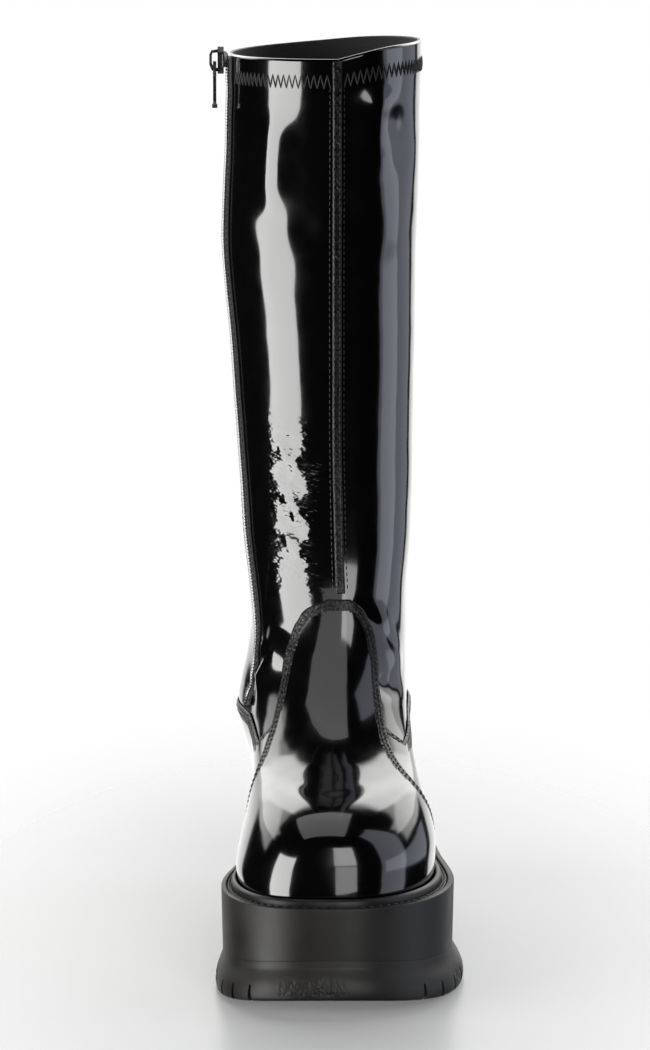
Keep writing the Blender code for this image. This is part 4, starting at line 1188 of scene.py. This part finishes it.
def make_outsole():
    turns = even_turns(880)
    halfway = turns + np.diff(turns, append=1) / 2
    turns = np.sort(np.concatenate([turns, halfway[patch_share(halfway).max(0) > 0]]))
    rim = sole_column("rim", turns)
    flare = sole_column("flare", turns)
    side = (
        (rim - 0.0009, TREAD_HEIGHT + 0.0002), (rim - 0.0007, TREAD_HEIGHT + 0.0002), (rim - 0.0005, 0.0175),
        (rim - 0.0004, 0.0160), (rim + flare * 0.12, 0.0140), (rim + flare * 0.38, 0.0120),
        (rim + flare * 0.68, 0.0096), (rim + flare * 0.90, 0.0070), (rim + flare, 0.0048),
        (rim + flare * 1.0, 0.0028), (rim + flare - 0.0003, 0.0010), (rim + flare - 0.0010, 0.0002),
        (rim + flare - 0.0016, 0.0),
    )
    loops = rounded([flat_loop(turns, distance, at_sole(height)) for distance, height in side], 2)
    heights = loops[:, :, 2] - sole_bottom(loops[:, :, 1])
    normal = loops[:, :, :2] - feather_line(turns, 0 * turns)[None]
    normal = np.concatenate([normal, 0 * normal[..., :1]], -1)
    normal /= np.linalg.norm(normal, axis=-1, keepdims=True)
    band = ease((heights - 0.0008) / 0.0022) * ease((0.0130 - heights) / 0.0055)
    amount = (patch_share(turns) * PATCH_DEPTH).max(0)[None] * band
    rough = amount > 0
    amount[rough] *= 1 - crags(loops[rough])
    loops = loops - normal * amount[..., None]
    bottom = sole_bottom(SOLE_MIDDLE)
    points, faces = filled(loops, [0, SOLE_MIDDLE, bottom + TREAD_HEIGHT], [0, SOLE_MIDDLE, bottom])
    item = piece("outsole_tread", points, faces, [RUBBER], "outsole", sharp=50)
    for tools in (notch_prisms(), chevron_prisms()):
        cut_out(item, prisms(tools))
    item.data.set_sharp_from_angle(angle=math.radians(40))


def prisms(tools):
    """One cutter from prisms that don't touch"""
    points, faces = [], []
    for low, high in tools:
        faces += prism_faces(len(low), len(points))
        points += list(low) + list(high)
    mesh = bpy.data.meshes.new("cutter")
    mesh.from_pydata([tuple(map(float, p)) for p in points], [], faces)
    turn_outward(mesh)
    return linked("cutter", mesh)


def notch_prisms():
    """The solid's own edge notches, which run in as grooves"""
    steps = np.linspace(0, 1, 721)[:-1]
    plan = feather_line(steps, sole_column("rim", steps) + sole_column("flare", steps))
    lengths = run_lengths(np.concatenate([plan, plan[:1]]))
    total = lengths[-1]
    tools = []
    for row in NOTCHES:
        for at in np.arange(row.first * FOOT_LENGTH, total / 2 - NOTCH_END, row.pitch * FOOT_LENGTH):
            where = at if row.side > 0 else total - at
            turn = np.array([np.interp(where, lengths, np.append(steps, 1.0))])
            edge = feather_line(turn, np.array([0.0]))[0]
            far = feather_line(turn, sole_column("rim", turn) + sole_column("flare", turn) + CUT_OVER)[0]
            inward = (edge - far) / np.linalg.norm(edge - far)
            across = np.array([-inward[1], inward[0]])
            near = far + inward * (CUT_OVER + NOTCH_DEEP)
            ends = []
            for point, wide_low, wide_high, high in (
                (far, NOTCH_WIDE, NOTCH_TIP, NOTCH_HIGH), (near, NOTCH_WIDE * 0.8, NOTCH_TIP * 1.4, LUG_DEPTH)
            ):
                bottom = float(sole_bottom(point[1]))
                corners = (
                    (-wide_low, -CUT_OVER), (wide_low, -CUT_OVER), (wide_high, high), (-wide_high, high),
                )
                ends.append([(*(point + across * wide / 2), bottom + rise) for wide, rise in corners])
            tools.append(ends)
    return tools


def chevron_prisms():
    """The solid's own V-shaped grooves down the middle"""
    tools = []
    y = along(CHEVRON_START)
    while y < HEEL_BACK - CHEVRON_END:
        t = (y - along(0)) / FOOT_LENGTH
        turn = math.acos(1 - 2 * t) / (2 * math.pi)
        pair = feather_line(np.array([turn, 1 - turn]), np.array([0.0, 0.0]))
        left, right = pair[:, 0].min() + CHEVRON_MARGIN, pair[:, 0].max() - CHEVRON_MARGIN
        centre = (left + right) / 2
        low_y, high_y = y + CHEVRON_DROP, y + CHEVRON_DROP + CHEVRON_WIDE
        outline = [
            (left, low_y), (centre, y), (right, low_y),
            (right, high_y), (centre, y + CHEVRON_WIDE), (left, high_y),
        ]
        tools.append([
            [(px, py, float(sole_bottom(py)) + rise) for px, py in outline] for rise in (-CUT_OVER, LUG_DEPTH)
        ])
        y += CHEVRON_PITCH
    return tools


def cut_out(item, cutter):
    """Take a cutter out of a piece for good"""
    modifier = item.modifiers.new("Cut", "BOOLEAN")
    modifier.operation = "DIFFERENCE"
    modifier.solver = "EXACT"
    modifier.object = cutter
    graph = bpy.context.evaluated_depsgraph_get()
    made = bpy.data.meshes.new_from_object(item.evaluated_get(graph))
    item.modifiers.clear()
    item.data = made
    bpy.data.objects.remove(cutter, do_unlink=True)


def make_welt():
    """Rolled bead against the upper and a sewn ledge out to the platform's lip"""
    turns = even_turns(400)
    rim = sole_column("rim", turns)
    free = rim - WELT_INNER
    inner = WELT_INNER + 0 * turns
    bead = BEAD_SHARE * free
    ledge = rim - LIP_SHARE * free - GAP

    def beside_vamp(level, distance, rise):
        line = skin(level, turns) + outward(level, turns) * (PANEL_GAP + LAYER + distance)
        line[:, 2] = deck(line[:, 1]) + rise
        return line

    loops = [beside_vamp(1.0, 0.0005, BEAD_HIGH * 0.78), beside_vamp(0.2, 0.0004, GAP)]
    loops += [flat_loop(turns, distance, at_deck(rise)) for distance, rise in (
        (ledge, GAP), (ledge, LEDGE_HIGH), (inner + bead + 0.0010, LEDGE_HIGH),
        (inner + bead + 0.0003, 0.0007), (inner + bead + 0.0001, BEAD_HIGH * 0.45),
        (inner + bead * 0.92, BEAD_HIGH * 0.80), (inner + bead * 0.62, BEAD_HIGH * 0.99),
    )]
    loops += [beside_vamp(1.1, 0.0013, BEAD_HIGH), beside_vamp(1.05, 0.0006, BEAD_HIGH * 0.92)]
    loops = rounded(loops, 2)
    faces = closed_faces(len(loops), len(turns))
    piece("welt_bead", loops, faces, [WELT], "welt", sharp=60)
    line = flat_loop(turns, (inner + bead + 0.0006 + ledge) / 2, at_deck(0.0010))
    line = np.concatenate([line, line[:1]])
    lengths = run_lengths(line)
    count = int(lengths[-1] / WELT_PITCH)
    pitch = lengths[-1] / count
    at = np.arange(count) * pitch
    starts, ends = (at_lengths(where % lengths[-1], lengths, line) for where in (at, at + pitch * 0.78))
    ups = np.tile([0.0, 0.0, 1.0], (count, 1))
    threads("welt_stitches", starts, ends, ups, WELT_THREAD, rise=0.9, slot="welt_rubber")


def make_insole():
    outline = place(0.15, np.arange(160) / 160, -(WALL + GAP + INSOLE_CLEAR))
    centre = np.array([outline[:, 0].mean(), outline[:, 1].mean()])
    loops = []
    for share, rise in (
        (.1, .95), (.4, .95), (.7, .97), (.93, 1.0), (.985, 1.0), (.995, .85), (1, .5), (1, 0)
    ):
        line = outline.copy()
        line[:, :2] = centre + (outline[:, :2] - centre) * share
        line[:, 2] = deck(line[:, 1]) + GAP + INSOLE_THICK * rise
        loops.append(line)
    low = deck(centre[1]) + GAP
    points, faces = filled(np.array(loops), [*centre, low + INSOLE_THICK * .95], [*centre, low])
    piece("insole_pad", points, faces, [LINING], "insole", sharp=50)


# Studio
def make_world():
    """Even white behind everything, and for reflections a dark room with large soft lights"""
    world = bpy.data.worlds.new("studio")
    bpy.context.scene.world = world
    world.use_nodes = True
    tree = world.node_tree
    tree.nodes.clear()
    direction = add(tree, "ShaderNodeTexCoord").outputs["Generated"]
    x, y, z = add(tree, "ShaderNodeSeparateXYZ", {"Vector": direction}).outputs
    back = times(tree, y, -1.0)
    turn = times(tree, math_node(tree, "ARCTAN2", x, back), 180 / math.pi)
    lift = times(tree, math_node(tree, "ARCSINE", z), 180 / math.pi)
    safe = math_node(tree, "MAXIMUM", z, 0.05)
    over_x, over_y = math_node(tree, "DIVIDE", x, safe), math_node(tree, "DIVIDE", back, safe)
    far = math_node(tree, "ABSOLUTE", turn)

    def step(value, start, end):
        return ranged(tree, value, start, end, interpolation_type="SMOOTHSTEP")

    def window(value, low, high, soft):
        return between(tree, value, low, high, soft)

    def mixed(share, first, second, **words):
        inputs = {0: share, 6: first, 7: second}
        return add(tree, "ShaderNodeMix", inputs, data_type="RGBA", clamp_result=False, **words).outputs[2]

    ceiling = (window(over_x, -2.2, 2.2, 0.1), window(over_y, -4.0, -0.95, 0.08), step(z, 0.14, 0.20))
    total = (.004, .004, .0042, 1)
    for masks, colour in (
        ((window(turn, -88, -46, 1.0), step(lift, -36, -32), step(lift, 21, 19)), (7, 7, 6.9, 1)),
        ((window(turn, 80, 142, 1.2), window(lift, -13, 5, 1.5), step(turn, 230, 70)), (.72, .77, .90, 1)),
        ((window(turn, 74, 111, 1.5), window(lift, -40, 58, 2.0)), (.72, .76, .88, 1)),
        ((step(far, 147, 151), step(lift, -75, -60), step(lift, 45, 41)), (1.15, 1.15, 1.13, 1)),
        ((step(far, 147, 151), step(lift, 4, 24), step(lift, 45, 41)), (.8, .82, .8, 1)),
        (ceiling, (1.1, 1.1, 1.08, 1)),
        ((window(far, 118, 149, 3.0), window(lift, 10, 34, 2.0)), (1.3, 1.3, 1.28, 1)),
        ((window(turn, 3, 33, 1.0), step(lift, 3, 7), step(lift, 40, 36)), (3.6, 3.6, 3.6, 1)),
    ):
        light = mixed(times(tree, *masks), (0, 0, 0, 1), colour)
        total = mixed(1.0, total, light, blend_type="ADD")
    seen = add(tree, "ShaderNodeLightPath").outputs["Is Camera Ray"]
    room = add(tree, "ShaderNodeBackground", {"Color": total, "Strength": 1.0}).outputs[0]
    white = add(tree, "ShaderNodeBackground", {"Color": (1, 1, 1, 1), "Strength": 1.0}).outputs[0]
    shown = add(tree, "ShaderNodeMixShader", {0: seen, 1: room, 2: white}).outputs[0]
    add(tree, "ShaderNodeOutputWorld", {"Surface": shown})


FLOOR_RADIUS = 1.6
FLOOR_AT = (0, -0.09, -0.0002)


def make_floor():
    """Pale floor that fades into the white around it"""
    mesh = bpy.data.meshes.new("floor")
    work = bmesh.new()
    bmesh.ops.create_circle(work, cap_ends=True, segments=96, radius=FLOOR_RADIUS)
    work.to_mesh(mesh)
    work.free()
    item = linked("floor", mesh)
    item.location = FLOOR_AT
    material, tree, shader = new_material("pale_floor")
    where = place_of(tree)
    set_values(shader, Roughness=0.30, IOR=1.25, Base_Color=ramp(tree, noise(tree, where, 2), .900, .906))
    oval = add(tree, "ShaderNodeVectorMath", {0: where, 1: (1.6, 0.8, 1.0)}, operation="MULTIPLY").outputs[0]
    reach = add(tree, "ShaderNodeVectorMath", {0: oval}, operation="LENGTH").outputs["Value"]
    inputs = {"Value": reach, "From Min": 0.12, "From Max": 0.46, "To Min": 0.12}
    fade = add(tree, "ShaderNodeMapRange", inputs, interpolation_type="SMOOTHSTEP").outputs["Result"]
    clear = add(tree, "ShaderNodeBsdfTransparent").outputs[0]
    mix = add(tree, "ShaderNodeMixShader", {0: fade, 1: shader.outputs[0], 2: clear}).outputs[0]
    tree.links.new(mix, tree.nodes["Material Output"].inputs["Surface"])
    mesh.materials.append(material)
    item.visible_glossy = False


Card = namedtuple("Card", "name place tilt width depth energy")
CARDS = [
    Card("card_over_instep", (-0.0275, -0.176, 0.2435), 0, 0.145, 0.172, 0.070),
    Card("card_before_toe", (0.105, -0.50, -0.005), 90, 0.17, 0.19, 0.25),
]


def make_cards():
    """Small soft lights that only the toe and the instep mirror"""
    for card in CARDS:
        data = bpy.data.lights.new(card.name, "AREA")
        data.shape = "RECTANGLE"
        data.size, data.size_y = card.width, card.depth
        data.energy = card.energy
        item = linked(card.name, data)
        item.location = card.place
        item.rotation_euler = Euler((math.radians(card.tilt), 0, 0))
        item.visible_camera = False


# The photo's view: straight ahead, a little down, through a long lens
CAMERA_AT = (-0.0043, -2.407, 0.64)
CAMERA_DOWN = 10.4
LENS = 162.69
SENSOR = 36


def make_camera():
    data = bpy.data.cameras.new("camera")
    data.lens = LENS
    data.sensor_width = SENSOR
    item = linked("camera", data)
    item.location = CAMERA_AT
    item.rotation_euler = Euler((math.radians(90 - CAMERA_DOWN), 0, 0))
    bpy.context.scene.camera = item


make_upper()
make_vamp()
make_quarter()
make_seams()
make_panel_stitches()
make_hem_stitches()
make_zip()
bevelled_copy("zip_slider", "zip_slider_body", "boot", 0.0004)
bevelled_copy("zip_pull", "zip_pull_tab", "zip_pull", 0.0003)
make_flanges()
make_platform()
make_outsole()
make_welt()
make_insole()
make_world()
make_floor()
make_cards()
make_camera()
bpy.context.scene.view_settings.view_transform = "Standard"
